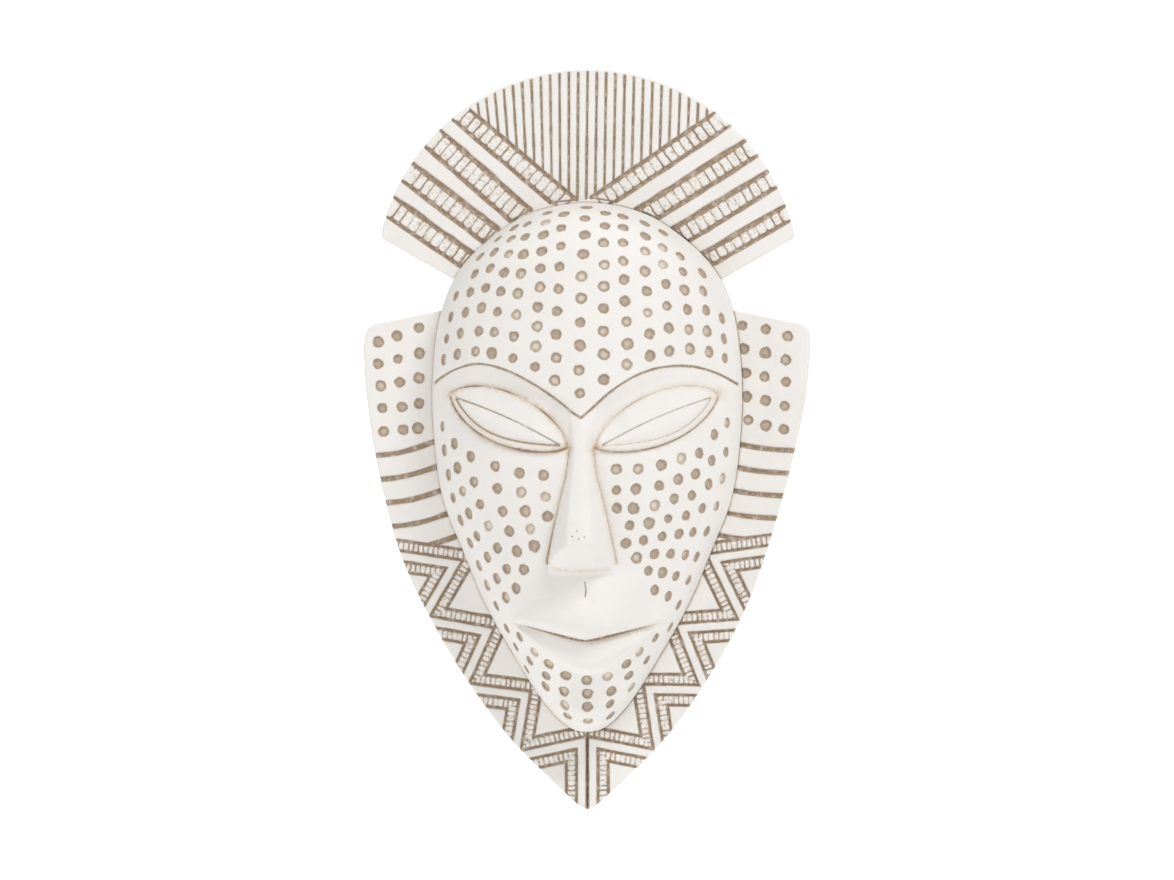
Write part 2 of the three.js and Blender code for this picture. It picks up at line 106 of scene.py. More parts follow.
NOSE_UNDERCUT = 2 * MM
NOSE_ARCH = 131 * MM
NOSE_ARCH_DROP = 9 * MM
NOSE_ARCH_HALF = 15 * MM
NOSE_CLEARANCE = 0.4 * MM
FACE_CLEARANCE = 0.2 * MM
MOUTH_SIDE = 1.8 * MM
MOUTH_HALF = 36 * MM
MOUTH_MIDDLE = 82.5 * MM
MOUTH_SLOPE = 0.26
UPPER_LIP = 20 * MM
UPPER_LIP_RISE = 5.0 * MM
LOWER_LIP_FOOT = 66.9 * MM
LOWER_LIP_CLIMB = 25 * MM
LOWER_LIP_RISE = 7.4 * MM
LEAST_LIP = 0.1 * MM
LIPS_PART = 2.2 * MM
KEEL_HALF = 12 * MM
KEEL_RISE = 2.0 * MM

# Tiny pits left in the paint at the nose's tip
PINHOLES = MM * np.array([(-3.4, 133.8), (-0.2, 132.6), (2.4, 133.6), (-1.2, 136.4)])

# The short groove from the nose to the upper lip
PHILTRUM = MM * np.array([(1.6, 111.8), (2.2, 108), (1.8, 104.7)])

# Rows of drilled dots
DOT_RADIUS = 2.7 * MM
DOT_DEPTH = 1.1 * MM
DOT_SLOPE = 0.9 * MM
DOT_LIP = 0.15 * MM
FACE_DOT_JITTER = 0.25 * MM
WING_DOT_JITTER = 0.3 * MM
DOT_SIZE_JITTER = 0.15 * MM

# Forehead columns, each as its lowest dot (across, height), its highest dot and how many dots it has
FOREHEAD_COLUMNS = (
    (-68.4, 218.6, -62.6, 249.6, 4), (-60.8, 221.3, -50.9, 268.2, 6), (-51.9, 222.3, -42.4, 277, 7),
    (-43.4, 221.7, -34.3, 282.4, 8), (-33.2, 219.2, -27.4, 284, 8), (-22.4, 215.2, -18.4, 289.6, 10),
    (-12.6, 208.2, -10.3, 288.6, 9), (-0.9, 202.4, 0.7, 292, 10), (11, 209.2, 10, 289.4, 9),
    (21.9, 215.6, 18.6, 288.2, 9), (32.6, 220.4, 28.8, 284.2, 8), (42.2, 222.6, 37.6, 279.6, 7),
    (52, 223.5, 46.9, 268.6, 6), (60.7, 221.8, 56.5, 260.6, 5), (68, 218.8, 66.4, 238.6, 3),
)
# Cheek columns, each as the angle round from the middle and the height of its highest dot, of its lowest
# dot, and how many dots it has
CHEEK_COLUMNS = (
    (-66.8, 187, -59.5, 99.9, 9), (-57.6, 178.3, -47.6, 104.2, 8), (-47.4, 171.6, -37.4, 108.5, 7),
    (-35.2, 167.4, -29.8, 117.6, 6), (-24.6, 164.4, -21.6, 128.7, 5), (-14.6, 163.2, -14.4, 143.2, 3),
    (67.4, 188, 65.6, 100.8, 8), (57.6, 181.9, 52.4, 104.7, 8), (49, 173.6, 40.8, 107.9, 8),
    (40.2, 171, 33.8, 117, 7), (31.4, 167.6, 26.2, 123.6, 6), (22, 165.9, 19.6, 130.4, 5),
    (13.4, 165.9, 14.2, 147.2, 3),
)
# Dots round the mouth and on the chin: distance from the mouth's middle, height
CHIN_DOTS = MM * np.array([
    (0, 64.3), (0, 57.3), (0, 50.7), (0, 43.8), (9.8, 66.2), (11.1, 58.8), (11.1, 52.2), (10.4, 46.4),
    (18.6, 71.9), (20.1, 66.1), (21, 60.3), (25.7, 78), (28.2, 73.8), (30.2, 69.2), (32.9, 84.6),
    (35.2, 79.9), (39.4, 89.2),
])

# Crest
CREST_RADIUS = 103 * MM
CREST_CENTRE = 257 * MM
CREST_CORNER = math.radians(11.8)
CREST_FOOT = 257.3 * MM
CREST_MARGIN = 2.2 * MM
# The edges of each side's four laddered bands, from the top down: where each starts at the face and ends
# at the rim
BAND_EDGES = {
    "left": MM * np.array([
        (-5.1, 296.3, -57, 340.2), (-18, 295.1, -65.4, 335.3), (-27.7, 291.4, -72.2, 330.9),
        (-37.4, 286.1, -80.4, 323.7), (-43.5, 282.1, -85.8, 314.7), (-50.3, 275.6, -91.2, 306.6),
        (-56, 270.4, -95.4, 298.8), (-61.6, 264, -98.9, 289.2),
    ]),
    "right": MM * np.array([
        (1.8, 297.4, 62.2, 338.8), (13.9, 295.4, 70.2, 332.7), (24, 291.4, 77.4, 325.4),
        (34.5, 287.4, 83.4, 318.1), (41.7, 282.2, 89.4, 311), (49.4, 276.1, 93.4, 303.3),
        (55.9, 270, 97.4, 294.2), (61.1, 264.8, 99.6, 286.8),
    ]),
}
BAND_GROOVES = MM * np.array((1.6, 1.8, 2.5, 2.1, 2.6, 1.9, 2.4, 1.7))
# How the bands' grooves narrow towards the rim
BAND_WIDEST = 1.08
BAND_NARROWING = 0.35
BAND_NARROWS_FROM = 0.75
BAND_RUNGS = 4.4 * MM
BAND_FRAME = 1.1 * MM
FLUTE_PITCH = 4.5 * MM
FLUTE_WIDTH = 1.25 * MM
FLUTE_LEVEL = 348 * MM
FLUTE_MARGIN = 0.4 * MM
FLUTE_RIM = 1.2 * MM
# How much the fan closes towards its foot, on each side, and how that grows away from the middle on the left
LEFT_CLOSING = 2.1
LEFT_CLOSING_MIDDLE = 0.4
LEFT_CLOSING_REACH = 60 * MM
RIGHT_CLOSING = 0.55
FLUTE_TILT = 0.011
HANGER_RECESS = dict(half=14 * MM, bottom=299 * MM, top=348 * MM, depth=5.5 * MM)

# Side boards: half width, height down the outer edge
BOARD_TOP_INNER = 243.7 * MM
BOARD_CORNER = MM * np.array((107.5, 235.5))
BOARD_CORNER_ROUND = 5 * MM
BOARD_EDGES = {
    "left": MM * np.array([
        (109, 224), (107.5, 202), (104, 177), (98.5, 151), (90.5, 123), (78, 96), (60.5, 66), (39, 36.5),
        (18, 15), (4, 2),
    ]),
    "right": MM * np.array([
        (108.2, 224), (105.8, 200), (101.3, 178), (95, 153), (87, 126), (76, 96.5), (60, 66.5), (39, 36.5),
        (18, 15), (4, 2),
    ]),
}
BAR_COUNT = 5
BAR_WIDTH = 2.5 * MM
# Bars: the top bar's run from the face outwards, and how each next one moves
TOP_BAR = {
    "left": MM * np.array([(66, 182.6), (75.2, 178.7), (90.3, 173.9), (103.6, 172.1), (114, 172)]),
    "right": MM * np.array([(60, 181.4), (71.2, 178.2), (86, 175.6), (101.5, 174.6), (112, 174.8)]),
}
NEXT_BAR = {"left": MM * np.array((-2.7, -11.45)), "right": MM * np.array((-2.7, -10.95))}
ZIGZAG = {
    "left": MM * np.array([
        (118, 127.4), (64.5, 119.6), (80.4, 92.5), (48.7, 86.8), (60.9, 59.7), (30.3, 55.8), (35.3, 25.9),
        (2.7, 33), (2.7, -12),
    ]),
    "right": MM * np.array([
        (118, 130.5), (61.4, 122.4), (76.9, 90.6), (46, 88.4), (57.8, 58.4), (30, 58.8), (35.1, 26.6),
        (2.7, 33), (2.7, -12),
    ]),
}
STRIP_WIDTH = 5.0 * MM
STRIP_GROOVE = 1.4 * MM
STRIP_RUNGS = 2.45 * MM
CELL_WANDER = 0.26 * MM
CELL_UNEVEN = 0.16 * MM
CELL_DRAWS = 997
# Wing dots: the highest and the lowest of each column, the inner column first
WING_DOT_ROWS = 5
WING_DOTS = {
    "left": MM * np.array([(81.6, 234.1, 82, 185.6), (92.4, 230.3, 89.9, 184.8), (102, 227.4, 98.8, 184.3)]),
    "right": MM * np.array([(75.6, 235.3, 77.8, 189.4), (86.4, 232.8, 86.4, 187.5), (97, 230.2, 95.4, 185)]),
}

GROOVE_DEPTH = 1.25 * MM
BACK_EDGE = 0.4 * MM
EDGE_ROUND = 0.9 * MM
JOINT_ROUND = 0.12 * MM
GRID_STEP = 0.52 * MM
FAR = 20 * MM


# ---- shaping helpers ----

def fullness(t, power):
    return np.clip(1 - np.abs(t) ** power, 0, None) ** (1 / power)


def ease(t):
    t = np.clip(t, 0, 1)
    return t * t * (3 - 2 * t)


def bump(r):
    return np.clip(1 - r * r, 0, 1) ** 2


def mound(x, z, wide, tall, rise):
    """A smooth mound, with x and z measured from its middle."""
    return rise * bump(np.hypot(x / wide, z / tall))


def swell(distance, reach, power, rise):
    """A rise that grows with the distance until its reach."""
    return rise * np.clip(distance / reach, 0, 1) ** power


def spline(points, steps, closed=False):
    """A smooth curve through the points, with `steps` pieces between each two."""
    p = np.asarray(points, float)
    if closed:
        ring = np.vstack([p[-1], p, p[0], p[1]])
    else:
        ring = np.vstack([2 * p[0] - p[1], p, 2 * p[-1] - p[-2]])
    t = np.linspace(0, 1, steps, endpoint=False)[:, None]
    spans = []
    for a, b, c, d in zip(ring, ring[1:], ring[2:], ring[3:]):
        spans.append(0.5 * (2 * b + (c - a) * t + (2 * a - 5 * b + 4 * c - d) * t**2
                            + (3 * b - a - 3 * c + d) * t**3))
    curve = np.vstack(spans)
    return curve if closed else np.vstack([curve, p[-1]])


def evenly(line, step, closed=False):
    """The same line with its points an even step apart."""
    p = np.vstack([line, line[:1]]) if closed else line
    run = np.concatenate([[0], np.cumsum(np.linalg.norm(np.diff(p, axis=0), axis=1))])
    count = max(2, int(round(run[-1] / step)))
    at = np.linspace(0, run[-1], count + 1)
    even = np.column_stack([np.interp(at, run, p[:, k]) for k in (0, 1)])
    return even[:-1] if closed else even


def patches(x, z, size, seed):
    """Smooth random patches between -1 and 1, about `size` across."""
    lattice = np.random.default_rng(seed).uniform(-1, 1, (64, 64))
    u, v = x / size + 500, z / size + 500
    i, j = np.floor(u).astype(int), np.floor(v).astype(int)
    s, t = ease(u - i), ease(v - j)
    low = lattice[i % 64, j % 64] * (1 - s) + lattice[(i + 1) % 64, j % 64] * s
    high = lattice[i % 64, (j + 1) % 64] * (1 - s) + lattice[(i + 1) % 64, (j + 1) % 64] * s
    return low * (1 - t) + high * t


def line_distance(x, z, line):
    """Distance from each point to a line of straight pieces, and how far along the line that is (0 to 1)."""
    best = np.full(x.shape, FAR)
    along = np.zeros(x.shape)
    lengths = np.linalg.norm(np.diff(line, axis=0), axis=1)
    run = np.concatenate([[0], np.cumsum(lengths)])
    for k, (a, b) in enumerate(zip(line, line[1:])):
        d = (b - a) / lengths[k]
        t = np.clip((x - a[0]) * d[0] + (z - a[1]) * d[1], 0, lengths[k])
        gap = np.hypot(x - a[0] - t * d[0], z - a[1] - t * d[1])
        nearer = gap < best
        best = np.where(nearer, gap, best)
        along = np.where(nearer, (run[k] + t) / run[-1], along)
    return best, along


def edge_distance(x, z, outline):
    gap, _ = line_distance(x, z, np.vstack([outline, outline[:1]]))
    return gap


def inside(x, z, loop):
    """True where a point is inside a closed loop."""
    result = np.zeros(x.shape, bool)
    for (ax, az), (bx, bz) in zip(loop, np.roll(loop, -1, axis=0)):
        crosses = (az > z) != (bz > z)
        with np.errstate(divide="ignore", invalid="ignore"):
            where = ax + (z - az) * (bx - ax) / (bz - az)
        result ^= crosses & (x < where)
    return result


def placed(x, depth, height):
    """Points in the frame, from the distance across, the depth in front of the wall plane and the height."""
    return np.column_stack([x.ravel(), -depth.ravel(), (height + TIP_Z).ravel()])


class Carving:
    """What the cuts do to a surface: how deep it is carved, and how the brown wash lies in the cuts."""

    def __init__(self, x, z):
        self.x, self.z = x, z
        self.depth = np.zeros(x.shape)
        self.line = np.full(x.shape, FAR)
        self.dot = np.full(x.shape, FAR)
        self.tone = np.full(x.shape, 0.5)
        self.stain = np.zeros(x.shape)

    def cut(self, depth, line, where=True):
        """Carves down to a depth, where line is the distance from the cut's edge, negative inside it."""
        self.depth = np.where(where, np.maximum(self.depth, depth), self.depth)
        self.line = np.where(where, np.minimum(self.line, line), self.line)

    def groove(self, distance, width, depth=GROOVE_DEPTH, where=True):
        """A rounded groove, where distance is measured from its middle line."""
        width = np.maximum(width, 1e-3 * MM)
        profile = np.clip(1 - (distance / (width * 0.62)) ** 2, 0, None) ** 0.7
        self.cut(depth * profile, distance - width / 2, where)

    def soak(self, distance, spread, strength, where=1.0):
        """A brown stain that fades with the distance from a line."""
        self.stain += strength * np.exp(-(distance / spread) ** 2) * where

    def dots(self, distance, tone):
        """A shallow drilled dish, where distance is measured from its centre."""
        ragged = 0.3 * MM * patches(self.x, self.z, 1.5 * MM, 91)
        distance = distance + rng.normal(0, DOT_SIZE_JITTER) + ragged
        self.depth += DOT_DEPTH * ease((DOT_RADIUS + DOT_LIP - distance) / DOT_SLOPE)
        nearer = distance < self.dot
        self.tone = np.where(nearer, tone, self.tone)
        self.dot = np.where(nearer, distance, self.dot)

    def values(self):
        return {
            "line_mm": self.line / MM,
            "dot_mm": (self.dot - DOT_RADIUS) / MM,
            "dot_tone": self.tone,
            "stain": self.stain,
        }


# ---- the face's shape ----

def face_edge_curve():
    right = FACE_EDGE
    left = right[1:-1][::-1] * (-1, 1)
    loop = spline(np.vstack([right, left]), 24, closed=True)
    half = loop[: (len(FACE_EDGE) - 1) * 24 + 1]
    half[0, 0] = half[-1, 0] = 0
    return half


face_edge = face_edge_curve()
CROWN = face_edge[0, 1]
CHIN = face_edge[-1, 1]


def half_width(height):
    return np.interp(height, face_edge[::-1, 1], face_edge[::-1, 0])


def spine_share(height):
    """How much of the dome's full rise is left at a height, along the middle."""
    reach = np.where(height > BROW_HEIGHT, CROWN - BROW_HEIGHT, BROW_HEIGHT - CHIN)
    t = np.clip(np.abs(height - BROW_HEIGHT) / reach, 0, 1)
    return np.where(height > BROW_HEIGHT, fullness(t, CROWN_FULLNESS), fullness(t, JAW_FULLNESS))


def dome_rise(x, height):
    side = np.clip(np.abs(x) / np.maximum(half_width(height), 1e-9), 0, 1)
    return DOME_RISE * spine_share(height) * fullness(side, SIDE_FULLNESS)


def eye_axes(x, height):
    """Distance along and across the eye's slanted axis from its centre, the same on both sides."""
    u = np.abs(x) - EYE_CENTRE[0]
    v = height - EYE_CENTRE[1]
    return (u * math.cos(EYE_TILT) + v * math.sin(EYE_TILT),
            v * math.cos(EYE_TILT) - u * math.sin(EYE_TILT))


def eye_curve(along, height, power, skew, half=EYE_HALF):
    """A lid's or a rim's distance from the eye's axis; skew makes it fuller towards the outer corner."""
    return height * np.clip(1 - (along / half) ** 2, 0, None) ** power * (1 + skew * along / half)


def slit_curve(along):
    return eye_curve(along, SLIT_RISE, 1, 0.0, BALL_HALF) - LID_EDGE


def lower_rim_curve(along):
    return -eye_curve(along, LOWER_RIM, 1, 0.34, BALL_HALF) - LID_EDGE


def upper_lid_curve(along):
    return eye_curve(along, UPPER_LID, 0.67, 0.05)


def lower_lid_curve(along):
    return -eye_curve(along, LOWER_LID, 0.75, 0.13)


def eye_rise(x, height):
    along, over = eye_axes(x, height)
    socket = mound(along, over - 3 * MM, wide=43 * MM, tall=20 * MM, rise=5.2 * MM)
    brow_hollow = mound(along + 4 * MM, over - 17 * MM, wide=34 * MM, tall=6.5 * MM, rise=1.7 * MM)
    root = mound(np.abs(x) - 13 * MM, height - 187 * MM, wide=11 * MM, tall=15 * MM, rise=2.8 * MM)
    inwards = np.where(over > 0, upper_lid_curve(along) - over, over - lower_lid_curve(along))
    plate = 2.3 * MM * ease(inwards / (1.5 * MM)) * ease((EYE_HALF - np.abs(along)) / EYE_TAPER)
    lids = swell(inwards, reach=12 * MM, power=0.8, rise=3.2 * MM)
    in_ball = np.minimum(slit_curve(along) - over, over - lower_rim_curve(along))
    ball = swell(in_ball, reach=4.5 * MM, power=0.7, rise=1.3 * MM) - 0.9 * MM * ease(in_ball / (0.7 * MM))
    return plate + lids + ball * (inwards > 0) - socket - brow_hollow - root


def nose_rise(x, height, under):
    """What the nose adds to the surface `under` it."""
    across = np.abs(x)
    arch = NOSE_ARCH - NOSE_ARCH_DROP * (across / NOSE_ARCH_HALF) ** 2
    level = np.clip(np.maximum(height, arch), NOSE_BASE, NOSE_HEIGHTS[-1])
    ridge = np.interp(level, NOSE_HEIGHTS, NOSE_RIDGE)
    foot = np.interp(level, NOSE_HEIGHTS, NOSE_FOOT)
    top = np.minimum(np.interp(level, NOSE_HEIGHTS, NOSE_RISE), DEEPEST - BOARD_FRONT - NOSE_CLEARANCE)
    slope = 1 - swell(across - ridge, reach=foot - ridge, power=1.35, rise=1)
    crown = swell(across, reach=ridge, power=2, rise=0.9 * MM)
    underside = swell(arch - height, reach=arch - NOSE_BASE + NOSE_UNDERCUT, power=1.15, rise=1)
    fade = 1 - ease((height - 186 * MM) / (12 * MM))
    body = np.clip(top - crown - under, 0, None) * slope * (1 - underside)
    return body * fade * (height > NOSE_BASE - NOSE_UNDERCUT)


def mouth_line(x):
    return MOUTH_MIDDLE + MOUTH_SLOPE * np.sqrt(x**2 + (3 * MM) ** 2)


def lower_lip_edge(x):
    return LOWER_LIP_FOOT + LOWER_LIP_CLIMB * np.abs(x / MOUTH_HALF) ** 1.6


def mouth_rise(x, height):
    x = x - MOUTH_SIDE
    muzzle = mound(x, height - 95 * MM, wide=47 * MM, tall=29 * MM, rise=7.5 * MM)
    side = np.clip(1 - (x / MOUTH_HALF) ** 2, 0, None)
    line = mouth_line(x)
    up = np.clip((height - line) / (UPPER_LIP * side**0.6 + LEAST_LIP), 0, 1)
    parted = ease(np.abs(height - line) / LIPS_PART)
    upper = UPPER_LIP_RISE * side**0.5 * np.sin(np.pi * up**0.62) * (1 - 0.35 * up) * parted
    keel = KEEL_RISE * (1 - np.abs(x) / KEEL_HALF).clip(0) * np.sin(np.pi * up)
    notch = 1.6 * MM * bump(x / (6 * MM)) * bump((height - 105 * MM) / (9 * MM))
    down = np.clip((line - height) / np.maximum(line - lower_lip_edge(x), LEAST_LIP), 0, 1)
    lower = LOWER_LIP_RISE * side**0.5 * np.sin(np.pi * down**2.5).clip(0) ** 0.5 * parted
    under = mound(x, height - 61 * MM, wide=36 * MM, tall=15 * MM, rise=4.0 * MM)
    return muzzle + upper + keel + lower - notch - under * (down >= 1)


def brow_step(x, height):
    lines = [np.interp(np.abs(x), line[:, 0], line[:, 1]) for line in BROW_LINES.values()]
    below = np.where(x < 0, *lines) - height
    return -BROW_STEP * ease(below / BROW_STEP_REACH) * (1 - ease(below / BROW_STEP_FADE))


def face_rise(x, height):
    """How far the face stands in front of the boards."""
    settle = ease(dome_rise(x, height) / (26 * MM))
    features = eye_rise(x, height) + mouth_rise(x, height) + brow_step(x, height)
    surface = dome_rise(x, height) + settle * features
    surface += nose_rise(x, height, surface)
    wobble = 0.25 * MM * patches(x, height, 17 * MM, 3) + 0.1 * MM * patches(x, height, 6 * MM, 4)
    return np.clip(surface + wobble * settle, 0, DEEPEST - BOARD_FRONT - FACE_CLEARANCE)


# ---- where the dots go ----

def surface_column(across, heights, count):
    """Dots an even distance apart along the surface, following a line from its first point to its last."""
    rise = dome_rise(across, heights)
    steps = np.sqrt(np.diff(across) ** 2 + np.diff(rise) ** 2 + np.diff(heights) ** 2)
    run = np.concatenate([[0], np.cumsum(steps)])
    wanted = np.linspace(0, run[-1], count)
    return list(zip(np.interp(wanted, run, across), np.interp(wanted, run, heights)))


def forehead_dots():
    dots = []
    t = np.linspace(0, 1, 400)
    for low_x, low_z, high_x, high_z, count in FOREHEAD_COLUMNS:
        across = low_x + (high_x - low_x) * t**1.2
        dots += surface_column(MM * across, MM * (low_z + (high_z - low_z) * t), count)
    return dots


def cheek_dots():
    """Columns whose dots lie a little closer together towards their lower ends."""
    dots = []
    for high_angle, high_z, low_angle, low_z, count in CHEEK_COLUMNS:
        t = np.linspace(0, 1, count)
        heights = MM * (high_z + (low_z - high_z) * t * (1.12 - 0.12 * t))
        angles = np.radians(high_angle + (low_angle - high_angle) * t**1.7)
        dots += list(zip(half_width(heights) * np.sin(angles), heights))
    return dots


def chin_dots():
    dots = [(MOUTH_SIDE + side * x, z) for x, z in CHIN_DOTS for side in (-1, 1) if x or side > 0]
    return [(x, z) for x, z in dots if half_width(z) - abs(x) > 1.2 * MM]


def carve_face(carving, points):
    """Cuts the dots, the brow, the eyes, the nose's side lines and the mouth into the face."""
    for dot_x, dot_z in forehead_dots() + cheek_dots() + chin_dots():
        dot_x += rng.normal(0, FACE_DOT_JITTER)
        dot_z += rng.normal(0, FACE_DOT_JITTER)
        rise = face_rise(np.array([dot_x]), np.array([dot_z]))
        centre = placed(np.array(dot_x), BOARD_FRONT + rise, np.array(dot_z))[0]
        carving.dots(np.linalg.norm(points - centre, axis=-1), rng.uniform(0, 1))
    carve_brow(carving)
    carve_eyes(carving)
    carve_nose(carving)
    carve_mouth(carving)


def carve_brow(carving):
    x, z = carving.x, carving.z
    across = np.abs(x)
    ragged = 1 + 0.2 * patches(x, z, 5 * MM, 6)
    for side, line in BROW_LINES.items():
        distance, _ = line_distance(across, z, spline(line, 5))
        here = (x < 0) == (side == "left")
        here &= half_width(z) - across > 1 * MM
        carving.groove(distance, width=1.25 * MM * ragged, depth=0.9 * MM, where=here)


def carve_eyes(carving):
    """The lids' outlines, the slit and the ball's lower rim, all thinner and fainter on the right from wear.
    """
    x, z = carving.x, carving.z
    along, over = eye_axes(x, z)
    in_eye = np.abs(along) < EYE_HALF
    on_ball = np.abs(along) < BALL_HALF
    wear_and_highlight = np.where(x > 0, 0.55, 1.1)
    faint = 0.5 * MM * patches(x, z, 9 * MM, 8)
    rim = np.abs(over - np.where(over > 0, upper_lid_curve(along), lower_lid_curve(along)))
    slit = np.abs(over - slit_curve(along))
    lower = np.abs(over - lower_rim_curve(along))
    corner = np.hypot(np.abs(along) - EYE_HALF, over)
    rim_width = (0.4 * MM + 0.55 * MM * (over < 0) + faint).clip(0) * wear_and_highlight
    carving.groove(rim, rim_width, depth=0.4 * MM, where=in_eye)
    carving.groove(slit, width=(0.7 * MM + 0.5 * faint) * wear_and_highlight**0.7, depth=0.6 * MM, where=on_ball)
    carving.groove(lower, width=0.8 * MM * wear_and_highlight**2, depth=0.45 * MM, where=on_ball)
    near_eye = np.abs(along) < 1.03 * EYE_HALF
    carving.soak(rim, spread=1.5 * MM, strength=0.65 * wear_and_highlight, where=near_eye)
    carving.soak(lower, spread=1.2 * MM, strength=0.5 * wear_and_highlight, where=on_ball)
    carving.soak(corner, spread=3 * MM, strength=0.6)


def carve_nose(carving):
    x, z = carving.x, carving.z
    across = np.abs(x)
    beside = (z > NOSE_BASE + 3 * MM) & (z < 177 * MM)
    nose_side = np.abs(across - np.interp(z, NOSE_HEIGHTS, NOSE_FOOT))
    heavier = 0.35 * MM + 0.55 * MM * ease((150 * MM - z) / (30 * MM)) * (x < 0)
    carving.groove(nose_side, heavier, depth=0.3 * MM, where=beside)
    carving.soak(nose_side, spread=1.3 * MM, strength=0.5, where=beside)
    base_half = 14 * MM
    below_nose = z - NOSE_BASE - 1.2 * MM * (across / base_half) ** 2
    carving.soak(below_nose, spread=0.9 * MM, strength=0.45, where=across < base_half)
    philtrum, _ = line_distance(x, z, PHILTRUM)
    carving.groove(philtrum, width=0.6 * MM, depth=0.35 * MM)
    for hole_x, hole_z in PINHOLES:
        carving.groove(np.hypot(x - hole_x, z - hole_z), width=0.8 * MM, depth=0.7 * MM)


def carve_mouth(carving):
    """The line between the lips, thickest a little away from the middle, with a tan edge under it."""
    from_middle = carving.x - MOUTH_SIDE
    aside = np.abs(from_middle)
    over_line = carving.z - mouth_line(from_middle)
    tail = ease((MOUTH_HALF - aside) / (12 * MM))
    thick = (0.6 * MM + 0.55 * MM * bump((aside - 9 * MM) / (16 * MM))) * tail
    in_mouth = aside < MOUTH_HALF
    carving.groove(np.abs(over_line), np.maximum(thick, 0.05 * MM), depth=0.9 * MM * tail, where=in_mouth)
    tan = 0.5 * (0.4 + 0.6 * (from_middle > 0))
    carving.soak(over_line + 1.1 * MM, spread=0.9 * MM, strength=tan, where=aside < MOUTH_HALF * 0.9)


# ---- the boards' shapes ----

def face_edge_beside(gap):
    """The right half of the face's edge, moved outwards by a gap, from crown to chin."""
    along = np.gradient(face_edge, axis=0)
    along /= np.linalg.norm(along, axis=1)[:, None]
    outwards = np.column_stack([-along[:, 1], along[:, 0]])
    outwards[0] = (0, 1)
    outwards[-1] = (0, -1)
    return face_edge + gap * outwards


def beside_face(x, z):
    """Distance from each point to the face's edge."""
    gap, _ = line_distance(np.abs(x), z, face_edge[::3])
    return gap


def rounded_corner(before, corner, after, radius):
    start = corner + (before - corner) * radius / np.linalg.norm(before - corner)
    end = corner + (after - corner) * radius / np.linalg.norm(after - corner)
    t = np.linspace(0, 1, 8)[:, None]
    return start * (1 - t) ** 2 + 2 * corner * t * (1 - t) + end * t**2


def crest_outline():
    angles = np.linspace(CREST_CORNER, math.pi - CREST_CORNER, 120)
    arc = np.column_stack([CREST_RADIUS * np.cos(angles), CREST_CENTRE + CREST_RADIUS * np.sin(angles)])
    inner = face_edge_beside(PAINTED_GAP)
    inner = inner[inner[:, 1] > CREST_FOOT]
    corner = rounded_corner(inner[-1], arc[0], arc[3], 3 * MM)
    half_turn = (-1, 1)
    return np.vstack([corner, arc[3:-3], corner[::-1] * half_turn, inner[:0:-1] * half_turn, inner])


def board_outline(side):
    edge = BOARD_EDGES[side]
    inner = face_edge_beside(PAINTED_GAP)
    inner = inner[inner[:, 1] < BOARD_TOP_INNER]
    corner = rounded_corner(inner[0], BOARD_CORNER, edge[0], BOARD_CORNER_ROUND)
    seam = np.array([(PAINTED_GAP / 2, 0.4 * MM), (PAINTED_GAP / 2, CHIN - PAINTED_GAP)])
    return np.vstack([corner, spline(edge, 6), seam, inner[:-1][::-1]])


def line_side(x, z, line):
    """Signed distance to a straight line, and the distance along it from its start."""
    d = (line[1] - line[0]) / np.linalg.norm(line[1] - line[0])
    return ((x - line[0][0]) * d[1] - (z - line[0][1]) * d[0],
            (x - line[0][0]) * d[0] + (z - line[0][1]) * d[1])


def carve_cells(carving, along, across, pitch, half, where, rung, corner):
    """Soft blocks in a row between thin rungs: across is measured from the strip's middle line."""
    wander = CELL_WANDER * patches(carving.x, carving.z, 2 * MM, 12)
    phase = (along + wander) / pitch
    cell = np.round(phase).astype(int)
    draws = np.random.default_rng(5).uniform(-CELL_UNEVEN, CELL_UNEVEN, CELL_DRAWS)
    uneven = draws[cell % CELL_DRAWS]
    beside = np.abs(phase - cell) * pitch - (pitch / 2 - rung / 2 - corner) + uneven
    end = np.abs(across) - (half - corner) + wander * 0.5
    outside = np.hypot(beside.clip(0), end.clip(0)) + np.minimum(np.maximum(beside, end), 0) - corner
    depth = GROOVE_DEPTH * 0.75 * ease((outside + 0.25 * MM) / (0.6 * MM))
    carving.cut(depth, -outside, where)
    speck = patches(carving.x, carving.z, 0.8 * MM, 21)
    carving.cut(0, -0.05 * MM, where & (speck > 0.8))
    carving.stain = np.where(where & (speck > 0.35), 0.6, carving.stain)


def carve_band(carving, upper, lower, sign, on_board):
    """One laddered band of the crest, between its upper and its lower edge."""
    x, z = carving.x, carving.z
    above, along = line_side(x, z, upper)
    below, _ = line_side(x, z, lower)
    above, below = above * sign, below * sign
    between = (above > 0) & (below < 0) & on_board & (along > 0)
    width = above - below
    across = above - width / 2
    carve_cells(carving, along, across, BAND_RUNGS, half=width / 2 - BAND_FRAME, where=between,
                rung=0.6 * MM, corner=1.1 * MM)
    closing, _ = line_distance(x, z, np.array([upper[0], lower[0]]))
    carving.groove(closing, width=0.8 * MM, depth=0.7 * MM)


